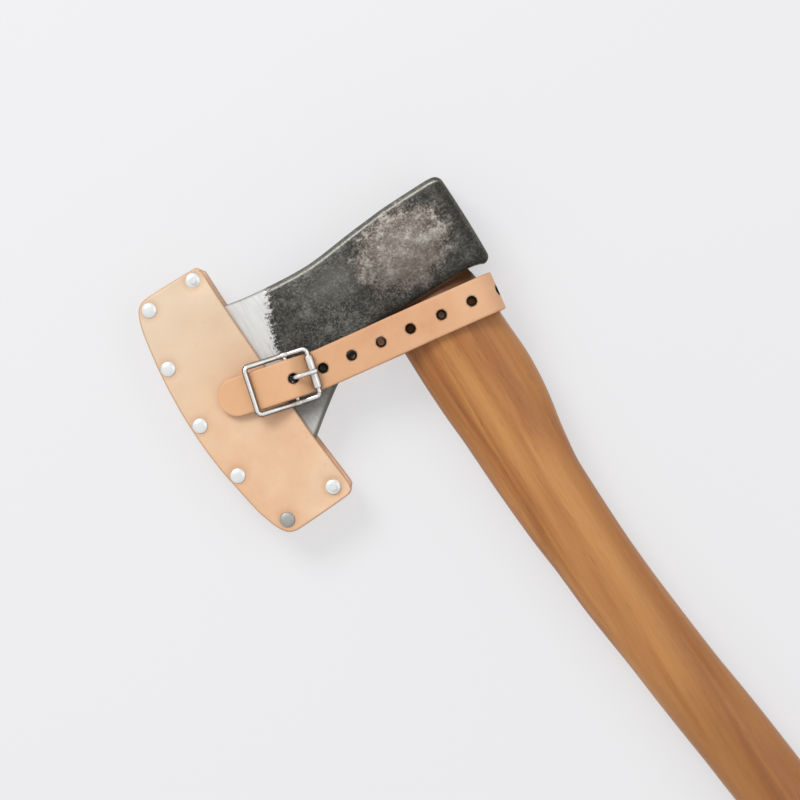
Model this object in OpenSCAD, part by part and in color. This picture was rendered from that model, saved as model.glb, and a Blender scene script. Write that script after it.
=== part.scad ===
// Hatchet lying on its side, in a riveted leather edge sheath that is held on
// by a strap and a roller buckle. Millimetres, +Z up, knob toward -Y, cutting
// edge toward -X. The inner design frame has its zero at the middle of the eye
// and its mid-plane at z = 0; at_rest() moves that to the middle of the footprint.

/* [Head] */
// Half thickness of the head at the eye
eye_bulge = 16; // [15.5:0.1:16.4]
// Half thickness of the poll
poll_half = 14.3; // [13:0.1:15]
// Half length of the eye oval
eye_a = 21.5; // [20:0.1:22]
// Half width of the eye oval
eye_b = 10; // [9:0.1:10.5]

/* [Haft] */
// Half thickness of the haft at the neck
neck_half = 12.3; // [11:0.1:12.5]
// Half thickness of the haft at the grip
grip_half = 11.4; // [10:0.1:12.5]
// How far the top of the haft sits below the top of the head
haft_sunk = 1.1; // [0.9:0.1:2.5]
// Width of the kerf at the top of the haft
kerf_w = 3.4; // [2.4:0.1:4]
// Outer radius of the ring wedge
ring_r = 6; // [5:0.1:7]

/* [Sheath] */
// Thickness of the sheath leather
leather = 3; // [2.5:0.1:3.2]
// Radius of a rivet cap
cap_r = 3.5; // [3:0.1:4]
// Radius of a rivet post
post_r = 1.5; // [1.2:0.1:1.8]

/* [Strap] */
// Width of the strap
strap_w = 18; // [16:0.5:19]
// Thickness of the strap
strap_t = 2.7; // [2.2:0.1:2.7]
// Radius of a punched hole
punch_r = 2.3; // [1.8:0.1:2.6]

/* [Buckle] */
// Radius of the buckle wire
wire_r = 1.3; // [1.1:0.05:1.4]
// Radius of the centre bar
bar_r = 1.2; // [1:0.05:1.2]
// Outer radius of the roller
roller_r = 2; // [1.8:0.05:2.05]

/* [Hidden] */
$fn = 48;
off = [44.44, 168.82, 16];

module at_rest() translate(off) children();

// ---------- head ----------
head_outline = [
    [31, 18.5], [30.2, 21.4], [28.4, 23.4], [25, 24.2], [10.5, 24.1], [1.5, 23.9], [-7.5, 23.2], [-16.5, 22.5],
    [-25.5, 21.6], [-34.5, 20.7], [-41.2, 20.3], [-48, 20.5], [-57, 21.2], [-66, 22.1], [-75, 23.4],
    [-79.5, 24.3], [-93, 27.7], [-107.8, 31.5],
    [-110.3, 20], [-112.3, 6], [-113.4, -6], [-113.7, -17], [-113.2, -29], [-111.8, -41], [-109.4, -53], [-104.7, -67],
    [-93, -58.5], [-79.7, -48.5], [-69.1, -40.5], [-58.3, -32.9], [-45.7, -25.7], [-34.5, -21.6], [-28, -19.6], [-21, -18.6],
    [0, -18.8], [20, -19.2], [26, -20.6], [28.4, -21.5], [30, -20.6], [31, -17.5]];
head_half = [[-113.75, 0.15], [-110, 0.45], [-104.7, 1.1], [-93, 2.5], [-86, 3.35], [-79.7, 4.1], [-69, 4.9], [-58.3, 6],
    [-52, 6.85], [-45.7, 7.8], [-40, 8.85], [-34.5, 10], [-30, 11.05], [-26, 12.1], [-22, 13.2], [-18, 14.35], [-14, 15.3],
    [-10, eye_bulge - 0.12], [-5, eye_bulge], [5, eye_bulge], [10, eye_bulge - 0.12], [15, 15.45], [19, poll_half + 0.6],
    [23, poll_half + 0.1], [28, poll_half], [30.2, poll_half - 0.9], [31, poll_half - 2]];
eye_cx = -1.5;
function oval(cx, a, b, n, k) = [for (i = [0:k - 1]) let (t = 360 * i / k, c = cos(t), s = sin(t))
    [cx + a * sign(c) * pow(abs(c), 2 / n), b * sign(s) * pow(abs(s), 2 / n)]];

module along_y(y0, y1) translate([0, y1, 0]) rotate([90, 0, 0]) linear_extrude(y1 - y0) children();

module head() color("#4b4743") at_rest() difference() {
    intersection() {
        translate([0, 0, -20]) linear_extrude(40) polygon(head_outline);
        along_y(-70, 40) polygon(concat(head_half, [for (i = [len(head_half) - 1:-1:0]) [head_half[i][0], -head_half[i][1]]]));
    }
    along_y(-30, 30) polygon(oval(eye_cx, eye_a, eye_b, 2.1, 40));
}

// ---------- haft ----------
top_y = 24 - haft_sunk;
top_lean = 0.0535;
haft_fore = [[-381, -9], [-378, -12], [-372, -13.2], [-364, -12], [-354, -8.4], [-344, -5], [-334, -2.8], [-322, -2], [-308, -2.6],
    [-296, -3.9], [-283, -5.4], [-265, -7.3], [-247, -9.5], [-230, -11.4], [-212, -13.2], [-194, -15.4], [-176, -17.4], [-158, -18.7],
    [-140, -20.6], [-122, -21.8], [-104, -22.7], [-86, -23.3], [-68, -24.4], [-50, -24.8], [-36, -24.8], [-26, -24.2], [-22.5, -23.6],
    [-19.4, eye_cx - eye_a + 0.06], [30, eye_cx - eye_a + 0.06]];
haft_back = [[-381, 29], [-378, 33], [-372, 35.4], [-364, 36.2], [-354, 36], [-344, 35.2], [-334, 34.4], [-322, 33.3], [-308, 31.8],
    [-296, 30.5], [-283, 29.2], [-265, 27.3], [-247, 25.2], [-230, 22.9], [-212, 21], [-194, 19.3], [-176, 17.8], [-158, 16.8],
    [-140, 16.4], [-122, 16.2], [-104, 18.1], [-86, 21.2], [-76, 22.3], [-66, 22.8], [-50, 22.1], [-36, 21.6], [-26, 21], [-22.5, 20.6],
    [-19.4, eye_cx + eye_a - 0.06], [30, eye_cx + eye_a - 0.06]];
haft_half = [[-381, 9.5], [-378, 12], [-372, 13.6], [-362, 14], [-350, 13.4], [-335, 12.4], [-318, 11.7], [-283, grip_half], [-220, grip_half],
    [-160, grip_half - 0.2], [-110, grip_half], [-80, neck_half - 0.4], [-50, neck_half], [-30, neck_half], [-24, neck_half - 0.5], [-22, neck_half - 1.2],
    [-19.4, eye_b - 0.06], [30, eye_b - 0.06]];
haft_n = [[-381, 2], [-283, 2.15], [-100, 2.15], [-40, 2.25], [-20, 2.1], [30, 2.1]];
haft_y = [-381, -379.8, -378, -375, -371, -366, -360, -353, -345, -336, -326, -314, -300, -283, -265, -247, -229, -211, -193, -176, -158,
    -140, -122, -112, -104, -95, -86, -76, -66, -52, -40, -30, -26, -24, -22.4, -20.8, -19.5, -19.4, 0, top_y];
// the butt is cut at a slant and the top follows the head: the end rings lean
haft_lean = [[-381, 0.16], [-366, 0.12], [-345, 0.05], [-326, 0], [12, 0], [22, top_lean], [30, top_lean]];
haft_k = 28;
function haft_ring(y) = let (x0 = lookup(y, haft_fore), x1 = lookup(y, haft_back), c = (x0 + x1) / 2)
    [for (p = oval(c, (x1 - x0) / 2, lookup(y, haft_half), lookup(y, haft_n), haft_k))
        [p[0], y + lookup(y, haft_lean) * (p[0] - c), p[1]]];
module haft_blank() {
    rings = [for (y = haft_y) haft_ring(y)];
    m = len(rings);
    polyhedron(
        points = [for (r = rings) for (p = r) p],
        faces = concat(
            [[for (j = [0:haft_k - 1]) j]],
            [for (i = [0:m - 2]) for (j = [0:haft_k - 1]) let (a = i * haft_k + j, b = i * haft_k + (j + 1) % haft_k)
                [a, a + haft_k, b + haft_k, b]],
            [[for (j = [haft_k - 1:-1:0]) (m - 1) * haft_k + j]]));
}
module kerf(x0, x1, g) translate([x0, 0, 0]) rotate([90, 0, 90]) linear_extrude(x1 - x0)
    polygon([[top_y + 5, kerf_w / 2 + g + 0.25], [top_y + 5, -kerf_w / 2 - g - 0.25], [0, -0.4 - g], [0, 0.4 + g]]);
module ring_tube(ro, ri, y0, y1) translate([eye_cx, y1, 0]) rotate([90, 0, 0]) difference() {
    cylinder(h = y1 - y0, r = ro);
    translate([0, 0, -1]) cylinder(h = y1 - y0 + 2, r = ri);
}
module haft() color("#c99a63") at_rest() difference() {
    haft_blank();
    kerf(-40, 40, 0);
    ring_tube(ring_r + 0.08, ring_r - 1.5, top_y - 10.1, top_y + 4);
}
module eye_wedge() color("#e0c79a") at_rest() difference() {
    intersection() {
        translate([0, 0, -20]) linear_extrude(40) polygon([[-30, 0.3], [30, 0.3], [30, top_y + top_lean * (30 - eye_cx)], [-30, top_y + top_lean * (-30 - eye_cx)]]);
        kerf(-30, 30, -0.05);
        along_y(0.3, top_y + 3) polygon(oval(eye_cx, eye_a - 0.1, eye_b - 0.1, 2.1, 40));
    }
    ring_tube(ring_r + 0.08, ring_r - 1.5, top_y - 10.1, top_y + 4);
}
module ring_wedge() color("#8d8f92") at_rest() ring_tube(ring_r, ring_r - 1.4, top_y - 10, top_y - 0.1);

// ---------- sheath ----------
// the panels lie on a wedge: inner face at z = in0 + in_s * (x - in_x)
in0 = 1.9;
in_x = -113.7;
in_s = 0.085;
slope = atan(in_s);
function z_in(x) = in0 + in_s * (x - in_x);
function z_out(x) = z_in(x) + leather;

sheath_edge = [[-116.6, 43.8], [-118.6, 40], [-120.3, 34], [-121.8, 26], [-123.6, 14], [-124.5, 2], [-125, -10], [-124.6, -26],
    [-123.3, -38], [-121.8, -47], [-119.3, -61], [-116.6, -69.7], [-114, -75], [-111, -77.8], [-107.5, -78.9], [-97, -78.5], [-87, -78]];
function sheath_outline(e) = concat(
    [[-83.6 + e, 43.6], [-84.2 + e, 45.4], [-86, 46.2], [-100, 46.4], [-110, 46.3], [-113.7, 45.7]], sheath_edge,
    [[-80.2 + e, -77.6], [-78.2 + e, -76.9], [-77.3 + e, -74.8], [-77.4 + e, -70], [-78.5 + e, -58], [-79.7 + e, -45], [-80.4 + e, -31], [-81.8 + e, 0], [-82.8 + e, 26]]);
welt_pocket = [[-70, 36.5], [-104, 36.5], [-108.6, 35.2], [-111.4, 29], [-113, 18], [-114.6, 4], [-115.5, -8], [-115.8, -18], [-115.3, -30],
    [-113.9, -42], [-111.4, -54], [-108.6, -64], [-107.2, -67.2], [-105.4, -68.2], [-70, -68.2]];
rivet_xy = [[-88.6, 41.9], [-112.5, 40.9], [-119.3, 13.9], [-120.7, -15.5], [-118.1, -43.7], [-109.6, -72.4], [-84.2, -70.7]];

// slab between two heights over the wedge face (z0..z1 above the inner face)
module slab(z0, z1) rotate([90, 0, 0]) translate([0, 0, -100]) linear_extrude(200)
    polygon([[-140, z_in(-140) + z0], [-60, z_in(-60) + z0], [-60, z_in(-60) + z1], [-140, z_in(-140) + z1]]);
module posts(r) for (p = rivet_xy) translate([p[0], p[1], -30]) cylinder(h = 60, r = r);
// a rivet through one panel, square to its face: the axis of the tab rivet or of a strap rivet
module square_to(x, y) translate([x, y, z_in(x)]) rotate([0, -slope, 0]) children();

tab_rv = [-85.4, -16.7];
strap_rv = [[-88.5, -18.9], [-98.5, -17.5]];

module panel(e, rv) difference() {
    intersection() {
        translate([0, 0, -5]) linear_extrude(30) polygon(sheath_outline(e));
        slab(0, leather);
    }
    posts(post_r + 0.05);
    for (p = rv) square_to(p[0], p[1]) translate([0, 0, -5]) cylinder(h = 20, r = post_r + 0.05);
}
module sheath_front_panel() color("#e2bd94") at_rest() panel(0, [tab_rv]);
module sheath_back_panel() color("#dcb68c") at_rest() mirror([0, 0, 1]) panel(1.4, strap_rv);
module sheath_welt() color("#c99c6e") at_rest() difference() {
    translate([0, 0, -12]) linear_extrude(24) difference() { polygon(sheath_outline(0)); polygon(welt_pocket); }
    slab(0, 40);
    mirror([0, 0, 1]) slab(0, 40);
    posts(post_r + 0.05);
}
// domed cap standing on z = 0
module cap(r, h) rotate_extrude() polygon(concat([[0, 0], [r - 0.15, 0], [r, 0.25]],
    [for (i = [1:6]) let (t = 90 * i / 7) [r * cos(t), 0.25 + (h - 0.25) * sin(t)]], [[0, h]]));
module sheath_rivet_caps() color("#d9d9d6") at_rest() for (s = [0, 1]) mirror([0, 0, s])
    for (p = rivet_xy) translate([p[0], p[1], z_out(p[0])]) rotate([0, -slope, 0]) cap(cap_r, 1.5);
module sheath_rivet_posts() color("#b9b9b6") at_rest() difference() {
    posts(post_r);
    slab(leather, 60);
    mirror([0, 0, 1]) slab(leather, 60);
}

// ---------- strap and buckle placement ----------
// strap frame: runs along x', bent round the haft; buckle frame: u along the strap at the buckle
strap_at = [24.4, -34.6];
strap_turn = -8;
module strap_frame() translate([strap_at[0] - 24.4, strap_at[1] + 3.43, 0]) rotate([0, 0, strap_turn]) children();
buckle_at = [-77.8, -18.6];
buckle_turn = -14;
module buckle_frame_at() translate([buckle_at[0], buckle_at[1], 0]) rotate([0, 0, buckle_turn]) children();
bar_u = 3.6;
bar_z = 9.5;
left_u = -15.3;
left_z = 13.5;
roll_u = 14;
roll_z = 10.9;
side_v = 11.2;

// tab: a folded strip of leather that goes round the centre bar
tab_w = 15;
module tab_profile() difference() {
    polygon(concat([[-12, 6.5], [-4, 6.5], [1, 7.3]],
        [for (i = [0:14]) let (t = -105 + 195 * i / 14) [bar_u + 2.7 * cos(t), bar_z + 2.7 * sin(t)]],
        [[-1, 11.4], [-4, 10.6], [-12, 9.9]]));
}
module buckle_tab() color("#dfb384") at_rest() difference() {
    buckle_frame_at() difference() {
        translate([0, tab_w / 2, 0]) rotate([90, 0, 0]) linear_extrude(tab_w) tab_profile();
        translate([bar_u, 20, bar_z]) rotate([90, 0, 0]) cylinder(h = 40, r = bar_r + 0.08);
        translate([-3, -1.7, 0]) cube([12, 3.4, 20]);
    }
    slab(-20, leather);
    square_to(tab_rv[0], tab_rv[1]) translate([0, 0, -5]) cylinder(h = 20, r = post_r + 0.05);
}
module tab_rivet() color("#cfcfcc") at_rest() square_to(tab_rv[0], tab_rv[1]) {
    translate([0, 0, -0.5]) cylinder(h = 0.5, r = 2.8);
    translate([0, 0, -0.2]) cylinder(h = leather + 3.2, r = post_r);
    translate([0, 0, leather + 3]) cylinder(h = 0.5, r = 2.8);
}

// ---------- buckle ----------
module rod(p, q, r) { d = q - p; l = norm(d);
    translate(p) rotate([0, acos(d[2] / l), atan2(d[1], d[0])]) cylinder(h = l, r = r, $fn = 24); }
module ball(p, r) translate(p) sphere(r = r + 0.03, $fn = 24);
// one side of the bent wire, from the roller bar round to the middle of the end bar
half_wire = concat(
    [for (i = [0:5]) [roll_u - 3 + 3 * cos(18 * i), 8.2 + 3 * sin(18 * i), roll_z - 0.1 * i]],
    [[bar_u + 4.4, side_v, bar_z + 0.3], [bar_u + 2.6, side_v, bar_z], [bar_u, side_v, bar_z], [bar_u - 2.6, side_v, bar_z],
     [bar_u - 5, side_v, bar_z + 0.3], [bar_u - 8, side_v, bar_z + 1.3], [bar_u - 11, side_v, bar_z + 2.4]],
    [for (i = [5:-1:0]) [left_u + 3 - 3 * cos(18 * i), 8.2 + 3 * sin(18 * i), left_z - 0.08 * i]],
    [[left_u, 4, left_z]]);
wire = concat(half_wire, [for (i = [len(half_wire) - 1:-1:0]) [half_wire[i][0], -half_wire[i][1], half_wire[i][2]]]);
wire_k = 12;
function wire_ring(i) = let (a = wire[max(0, i - 1)], b = wire[min(len(wire) - 1, i + 1)], t = (b - a) / norm(b - a),
    n0 = cross([0, 0, 1], t), n = n0 / norm(n0), w = cross(t, n))
    [for (j = [0:wire_k - 1]) wire[i] + wire_r * (cos(360 * j / wire_k) * n + sin(360 * j / wire_k) * w)];
module buckle_frame() color("#cfcfcb") at_rest() buckle_frame_at() {
    m = len(wire);
    polyhedron(
        points = [for (i = [0:m - 1]) each wire_ring(i)],
        faces = concat([[for (j = [0:wire_k - 1]) j]],
            [for (i = [0:m - 2]) for (j = [0:wire_k - 1]) let (a = i * wire_k + j, b = i * wire_k + (j + 1) % wire_k)
                [a, a + wire_k, b + wire_k, b]],
            [[for (j = [wire_k - 1:-1:0]) (m - 1) * wire_k + j]]));
    translate([roll_u, 8, roll_z]) rotate([90, 0, 0]) cylinder(h = 16, r = 1.2);
}
// the centre bar ends in two sleeves that are crimped round the side wires
module buckle_centre_bar() color("#bdbdb9") at_rest() buckle_frame_at() difference() {
    union() {
        translate([bar_u, side_v - 0.5, bar_z]) rotate([90, 0, 0]) cylinder(h = 2 * side_v - 1, r = bar_r);
        for (s = [1, -1]) translate([bar_u - 1.8, s * side_v, bar_z]) rotate([0, 90, 0]) cylinder(h = 3.6, r = wire_r + 0.65);
    }
    for (s = [1, -1]) translate([bar_u - 4, s * side_v, bar_z]) rotate([0, 90, 0]) cylinder(h = 8, r = wire_r + 0.02);
}
module buckle_roller() color("#d6d6d2") at_rest() buckle_frame_at() translate([roll_u, 7.6, roll_z]) rotate([90, 0, 0]) difference() {
    cylinder(h = 15.2, r = roller_r);
    translate([0, 0, -1]) cylinder(h = 18, r = 1.28);
}
tongue_path = [[bar_u + 1.2, 11.3], [bar_u + 1.3, 13.4], [bar_u + 2.2, 15.4], [bar_u + 4, 16.2], [bar_u + 6.4, 15.8], [roll_u, 14.2], [roll_u + 2.2, 13.3]];
module buckle_tongue() color("#d2d2ce") at_rest() buckle_frame_at() difference() {
    union() {
        translate([bar_u, 1.3, bar_z]) rotate([90, 0, 0]) cylinder(h = 2.6, r = 2.5);
        for (i = [0:len(tongue_path) - 2]) {
            a = [tongue_path[i][0], 0, tongue_path[i][1]];
            b = [tongue_path[i + 1][0], 0, tongue_path[i + 1][1]];
            rod(a, b, 1.1);
            ball(a, 1.1);
            ball(b, 1.1);
        }
    }
    translate([bar_u, 5, bar_z]) rotate([90, 0, 0]) cylinder(h = 10, r = bar_r + 0.06);
}

// ---------- strap ----------
// rear run: from the two strap rivets under the haft to the back corner
run_in = [[-106, -5], [-82, -7.6], [-70, -8.1], [-58, -8.5], [-45.6, -9.8], [-38, -11.1], [-31, -12.4], [-26, -13.1], [17.2, -13.1]];
module strap_back_run() color("#e0b48c") at_rest() difference() {
    strap_frame() translate([0, strap_w / 2, 0]) rotate([90, 0, 0]) linear_extrude(strap_w)
        polygon(concat(run_in, [for (i = [len(run_in) - 1:-1:0]) [run_in[i][0], run_in[i][1] - strap_t]]));
    mirror([0, 0, 1]) slab(-20, leather);
    for (p = strap_rv) mirror([0, 0, 1]) square_to(p[0], p[1]) translate([0, 0, -5]) cylinder(h = 30, r = post_r + 0.05);
}
module strap_rivets() color("#d9d9d6") at_rest() mirror([0, 0, 1]) for (p = strap_rv) square_to(p[0], p[1]) {
    translate([0, 0, -0.5]) cylinder(h = 0.5, r = 2.8);
    translate([0, 0, -0.2]) cylinder(h = leather + 3.9, r = post_r);
    translate([0, 0, leather + 3.3]) cap(cap_r, 1.3);
}
// the bend round the back of the haft
wrap_cx = 17.2;
wrap_cz = 6.6;
wrap_r = 6.5;
module strap_wrap() color("#e0b48c") at_rest() strap_frame() translate([0, strap_w / 2, 0]) rotate([90, 0, 0]) linear_extrude(strap_w)
    polygon(concat(
        [for (i = [0:8]) let (t = -90 + 90 * i / 8) [wrap_cx + (wrap_r + strap_t) * cos(t), -wrap_cz + (wrap_r + strap_t) * sin(t)]],
        [for (i = [0:8]) let (t = 90 * i / 8) [wrap_cx + (wrap_r + strap_t) * cos(t), wrap_cz + (wrap_r + strap_t) * sin(t)]],
        [for (i = [8:-1:0]) let (t = 90 * i / 8) [wrap_cx + wrap_r * cos(t), wrap_cz + wrap_r * sin(t)]],
        [for (i = [8:-1:0]) let (t = -90 + 90 * i / 8) [wrap_cx + wrap_r * cos(t), -wrap_cz + wrap_r * sin(t)]]));

// front run: x, y of the middle, z of the underside, half width
front_run = [[16.74, -33.52, 13.1, 9], [-1.7, -30.9, 13.1, 9], [-20, -28.4, 13.1, 9], [-26, -27.55, 13, 9], [-31, -26.9, 12.3, 9], [-38, -26, 10.9, 9], [-45.6, -24.9, 9.3, 9],
    [-54, -23.7, 7.5, 9], [-59.6, -22.9, 6.5, 9], [-64.2, -22, 6.1, 9], [-66, -21.55, 6.5, 9], [-68, -21.05, 7.7, 9], [-70, -20.55, 9.5, 9], [-72, -20.05, 11.4, 9],
    [-73.6, -19.65, 12.35, 9], [-75.5, -19.2, 12.5, 9], [-78, -18.6, 11.95, 9], [-81, -17.9, 11.4, 9], [-86, -16.75, 11.15, 9], [-89, -16.05, 10.6, 9], [-91.2, -15.5, 9.1, 9], [-92.5, -15.15, 8.6, 9],
    [-94.5, -14.6, 7.9, 9], [-98, -13.7, 7.2, 9], [-101, -12.85, 6.8, 9], [-103.6, -12.15, 6.5, 8.2], [-105.3, -11.65, 6.3, 6.6], [-106.6, -11.3, 6.2, 4.4], [-107.3, -11.1, 6.15, 2]];
punch_xy = [[13.1, -32.9], [-1.7, -30.9], [-16.8, -28.8], [-31.2, -26.9], [-45.6, -24.9], [-59.6, -22.9], [-73.3, -19.9]];
function run_dir(i) = let (a = front_run[max(0, i - 1)], b = front_run[min(len(front_run) - 1, i + 1)], d = [b[0] - a[0], b[1] - a[1]]) d / norm(d);
module strap_front_run() color("#e0b48c") at_rest() difference() {
    m = len(front_run);
    polyhedron(
        points = [for (i = [0:m - 1]) let (p = front_run[i], d = run_dir(i), n = [-d[1], d[0]] * p[3])
            each [[p[0] + n[0], p[1] + n[1], p[2]], [p[0] - n[0], p[1] - n[1], p[2]],
                  [p[0] - n[0], p[1] - n[1], p[2] + strap_t], [p[0] + n[0], p[1] + n[1], p[2] + strap_t]]],
        faces = concat([[0, 1, 2, 3]],
            [for (i = [0:m - 2]) for (j = [0:3]) let (a = i * 4 + j, b = i * 4 + (j + 1) % 4) [a, a + 4, b + 4, b]],
            [[for (j = [3:-1:0]) (m - 1) * 4 + j]]));
    for (p = punch_xy) translate([p[0], p[1], 0]) cylinder(h = 30, r = punch_r, $fn = 20);
}

head();
haft();
eye_wedge();
ring_wedge();
sheath_front_panel();
sheath_back_panel();
sheath_welt();
sheath_rivet_caps();
sheath_rivet_posts();
buckle_tab();
tab_rivet();
buckle_frame();
buckle_centre_bar();
buckle_roller();
buckle_tongue();
strap_back_run();
strap_rivets();
strap_wrap();
strap_front_run();
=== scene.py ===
import math
import bpy
import bmesh
from mathutils import Vector, Matrix, noise


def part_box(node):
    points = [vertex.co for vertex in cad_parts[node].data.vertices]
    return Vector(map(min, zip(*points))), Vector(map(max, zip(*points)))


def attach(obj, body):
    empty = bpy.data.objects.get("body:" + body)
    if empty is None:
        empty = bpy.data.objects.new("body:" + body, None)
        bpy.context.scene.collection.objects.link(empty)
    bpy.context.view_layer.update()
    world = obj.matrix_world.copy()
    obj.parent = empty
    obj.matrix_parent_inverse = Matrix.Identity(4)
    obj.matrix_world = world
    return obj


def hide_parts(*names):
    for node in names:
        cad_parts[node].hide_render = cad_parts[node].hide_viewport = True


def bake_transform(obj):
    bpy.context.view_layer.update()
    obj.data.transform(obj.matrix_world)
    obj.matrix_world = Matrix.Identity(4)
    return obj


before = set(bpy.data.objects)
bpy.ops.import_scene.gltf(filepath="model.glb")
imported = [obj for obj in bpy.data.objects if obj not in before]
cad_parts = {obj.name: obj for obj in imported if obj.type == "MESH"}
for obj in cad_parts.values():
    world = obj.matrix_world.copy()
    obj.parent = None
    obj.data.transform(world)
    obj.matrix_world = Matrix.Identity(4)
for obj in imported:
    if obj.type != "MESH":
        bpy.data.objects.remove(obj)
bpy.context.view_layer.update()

scene = bpy.context.scene

# The design frame: millimetres from the middle of the eye. Its place in the row frame comes from the head's CAD box.
_lo, _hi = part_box("head")
OFF = Vector((_hi[0] - 0.031, _hi[1] - 0.0315, _hi[2] - 0.016))


def P(x, y, z=0.0):
    return Vector((OFF.x + x / 1000, OFF.y + y / 1000, OFF.z + z / 1000))


def lookup(x, table):
    """Linear between control points."""
    if x <= table[0][0]:
        return table[0][1]
    for (a, va), (b, vb) in zip(table, table[1:]):
        if x <= b:
            return va + (vb - va) * (x - a) / (b - a)
    return table[-1][1]


def smooth_lookup(x, table):
    """Monotone cubic between control points, so a loft has no creases."""
    n = len(table)
    if x <= table[0][0]:
        return table[0][1]
    if x >= table[-1][0]:
        return table[-1][1]
    i = 0
    while table[i + 1][0] < x:
        i += 1

    def slope(k):
        if k <= 0 or k >= n - 1:
            return (table[min(k + 1, n - 1)][1] - table[max(k - 1, 0)][1]) / (table[min(k + 1, n - 1)][0] - table[max(k - 1, 0)][0])
        d0 = (table[k][1] - table[k - 1][1]) / (table[k][0] - table[k - 1][0])
        d1 = (table[k + 1][1] - table[k][1]) / (table[k + 1][0] - table[k][0])
        return 0.0 if d0 * d1 <= 0 else 2 * d0 * d1 / (d0 + d1)

    x0, y0 = table[i]
    x1, y1 = table[i + 1]
    h = x1 - x0
    t = (x - x0) / h
    return ((1 + 2 * t) * (1 - t) ** 2 * y0 + t * (1 - t) ** 2 * h * slope(i)
            + t * t * (3 - 2 * t) * y1 + t * t * (t - 1) * h * slope(i + 1))


def sstep(a, b, x):
    t = min(1.0, max(0.0, (x - a) / (b - a)))
    return t * t * (3 - 2 * t)


def build(name, verts, faces, smooth=True, angle=35.0, recalc=True):
    """A mesh object from design points (mm) and faces."""
    me = bpy.data.meshes.new(name)
    me.from_pydata([P(*v) for v in verts], [], faces)
    ob = bpy.data.objects.new(name, me)
    scene.collection.objects.link(ob)
    bm = bmesh.new()
    bm.from_mesh(me)
    bmesh.ops.remove_doubles(bm, verts=bm.verts, dist=2e-6)
    if recalc:
        bmesh.ops.recalc_face_normals(bm, faces=bm.faces)
    bm.to_mesh(me)
    bm.free()
    shade(ob, angle if smooth else 0)
    return ob


def shade(ob, angle=35.0):
    me = ob.data
    for p in me.polygons:
        p.use_smooth = True
    bm = bmesh.new()
    bm.from_mesh(me)
    lim = math.radians(angle)
    for e in bm.edges:
        if len(e.link_faces) == 2:
            e.smooth = e.calc_face_angle(0.0) < lim
    bm.to_mesh(me)
    bm.free()


def apply_mods(ob):
    dg = bpy.context.evaluated_depsgraph_get()
    dg.update()
    me = bpy.data.meshes.new_from_object(ob.evaluated_get(dg))
    old = ob.data
    ob.modifiers.clear()
    ob.data = me
    bpy.data.meshes.remove(old)


def cut(ob, cutters, angle=35.0):
    """Booleans the cutters out of ob and throws the cutters away."""
    for c in cutters:
        m = ob.modifiers.new("cut", "BOOLEAN")
        m.operation = "DIFFERENCE"
        m.solver = "EXACT"
        m.object = c
    bpy.context.view_layer.update()
    apply_mods(ob)
    for c in cutters:
        me = c.data
        bpy.data.objects.remove(c)
        bpy.data.meshes.remove(me)
    shade(ob, angle)


def loft(rings, close_ends=True, loop=False):
    """Faces through rings of equal length; rings are closed."""
    k = len(rings[0])
    verts = [v for r in rings for v in r]
    faces = []
    m = len(rings)
    for i in range(m if loop else m - 1):
        for j in range(k):
            a = i * k + j
            b = i * k + (j + 1) % k
            c = ((i + 1) % m) * k + (j + 1) % k
            d = ((i + 1) % m) * k + j
            faces.append((a, b, c, d))
    if close_ends and not loop:
        faces.append(tuple(range(k - 1, -1, -1)))
        faces.append(tuple((m - 1) * k + j for j in range(k)))
    return verts, faces


def resample(poly, n, closed=False):
    """n points evenly along a polyline."""
    pts = [Vector(p) for p in poly]
    if closed:
        pts = pts + [pts[0]]
    seg = [(b - a).length for a, b in zip(pts, pts[1:])]
    total = sum(seg)
    out = []
    steps = n if closed else n - 1
    for i in range(n):
        d = total * i / steps
        k = 0
        while k < len(seg) - 1 and d > seg[k]:
            d -= seg[k]
            k += 1
        out.append(pts[k].lerp(pts[k + 1], min(1.0, d / seg[k]) if seg[k] else 0))
    return out


def spline(poly, per=8, closed=False):
    """Catmull-Rom through points of any dimension."""
    pts = [Vector(p) for p in poly]
    n = len(pts)
    out = []
    rng = n if closed else n - 1
    for i in range(rng):
        p1, p2 = pts[i], pts[(i + 1) % n]
        p0 = pts[(i - 1) % n] if closed or i > 0 else p1 * 2 - p2
        p3 = pts[(i + 2) % n] if closed or i + 2 < n else p2 * 2 - p1
        for k in range(per):
            t = k / per
            out.append(0.5 * ((2 * p1) + (p2 - p0) * t + (2 * p0 - 5 * p1 + 4 * p2 - p3) * t * t + (3 * p1 - p0 - 3 * p2 + p3) * t ** 3))
    if not closed:
        out.append(pts[-1])
    return out


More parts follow.
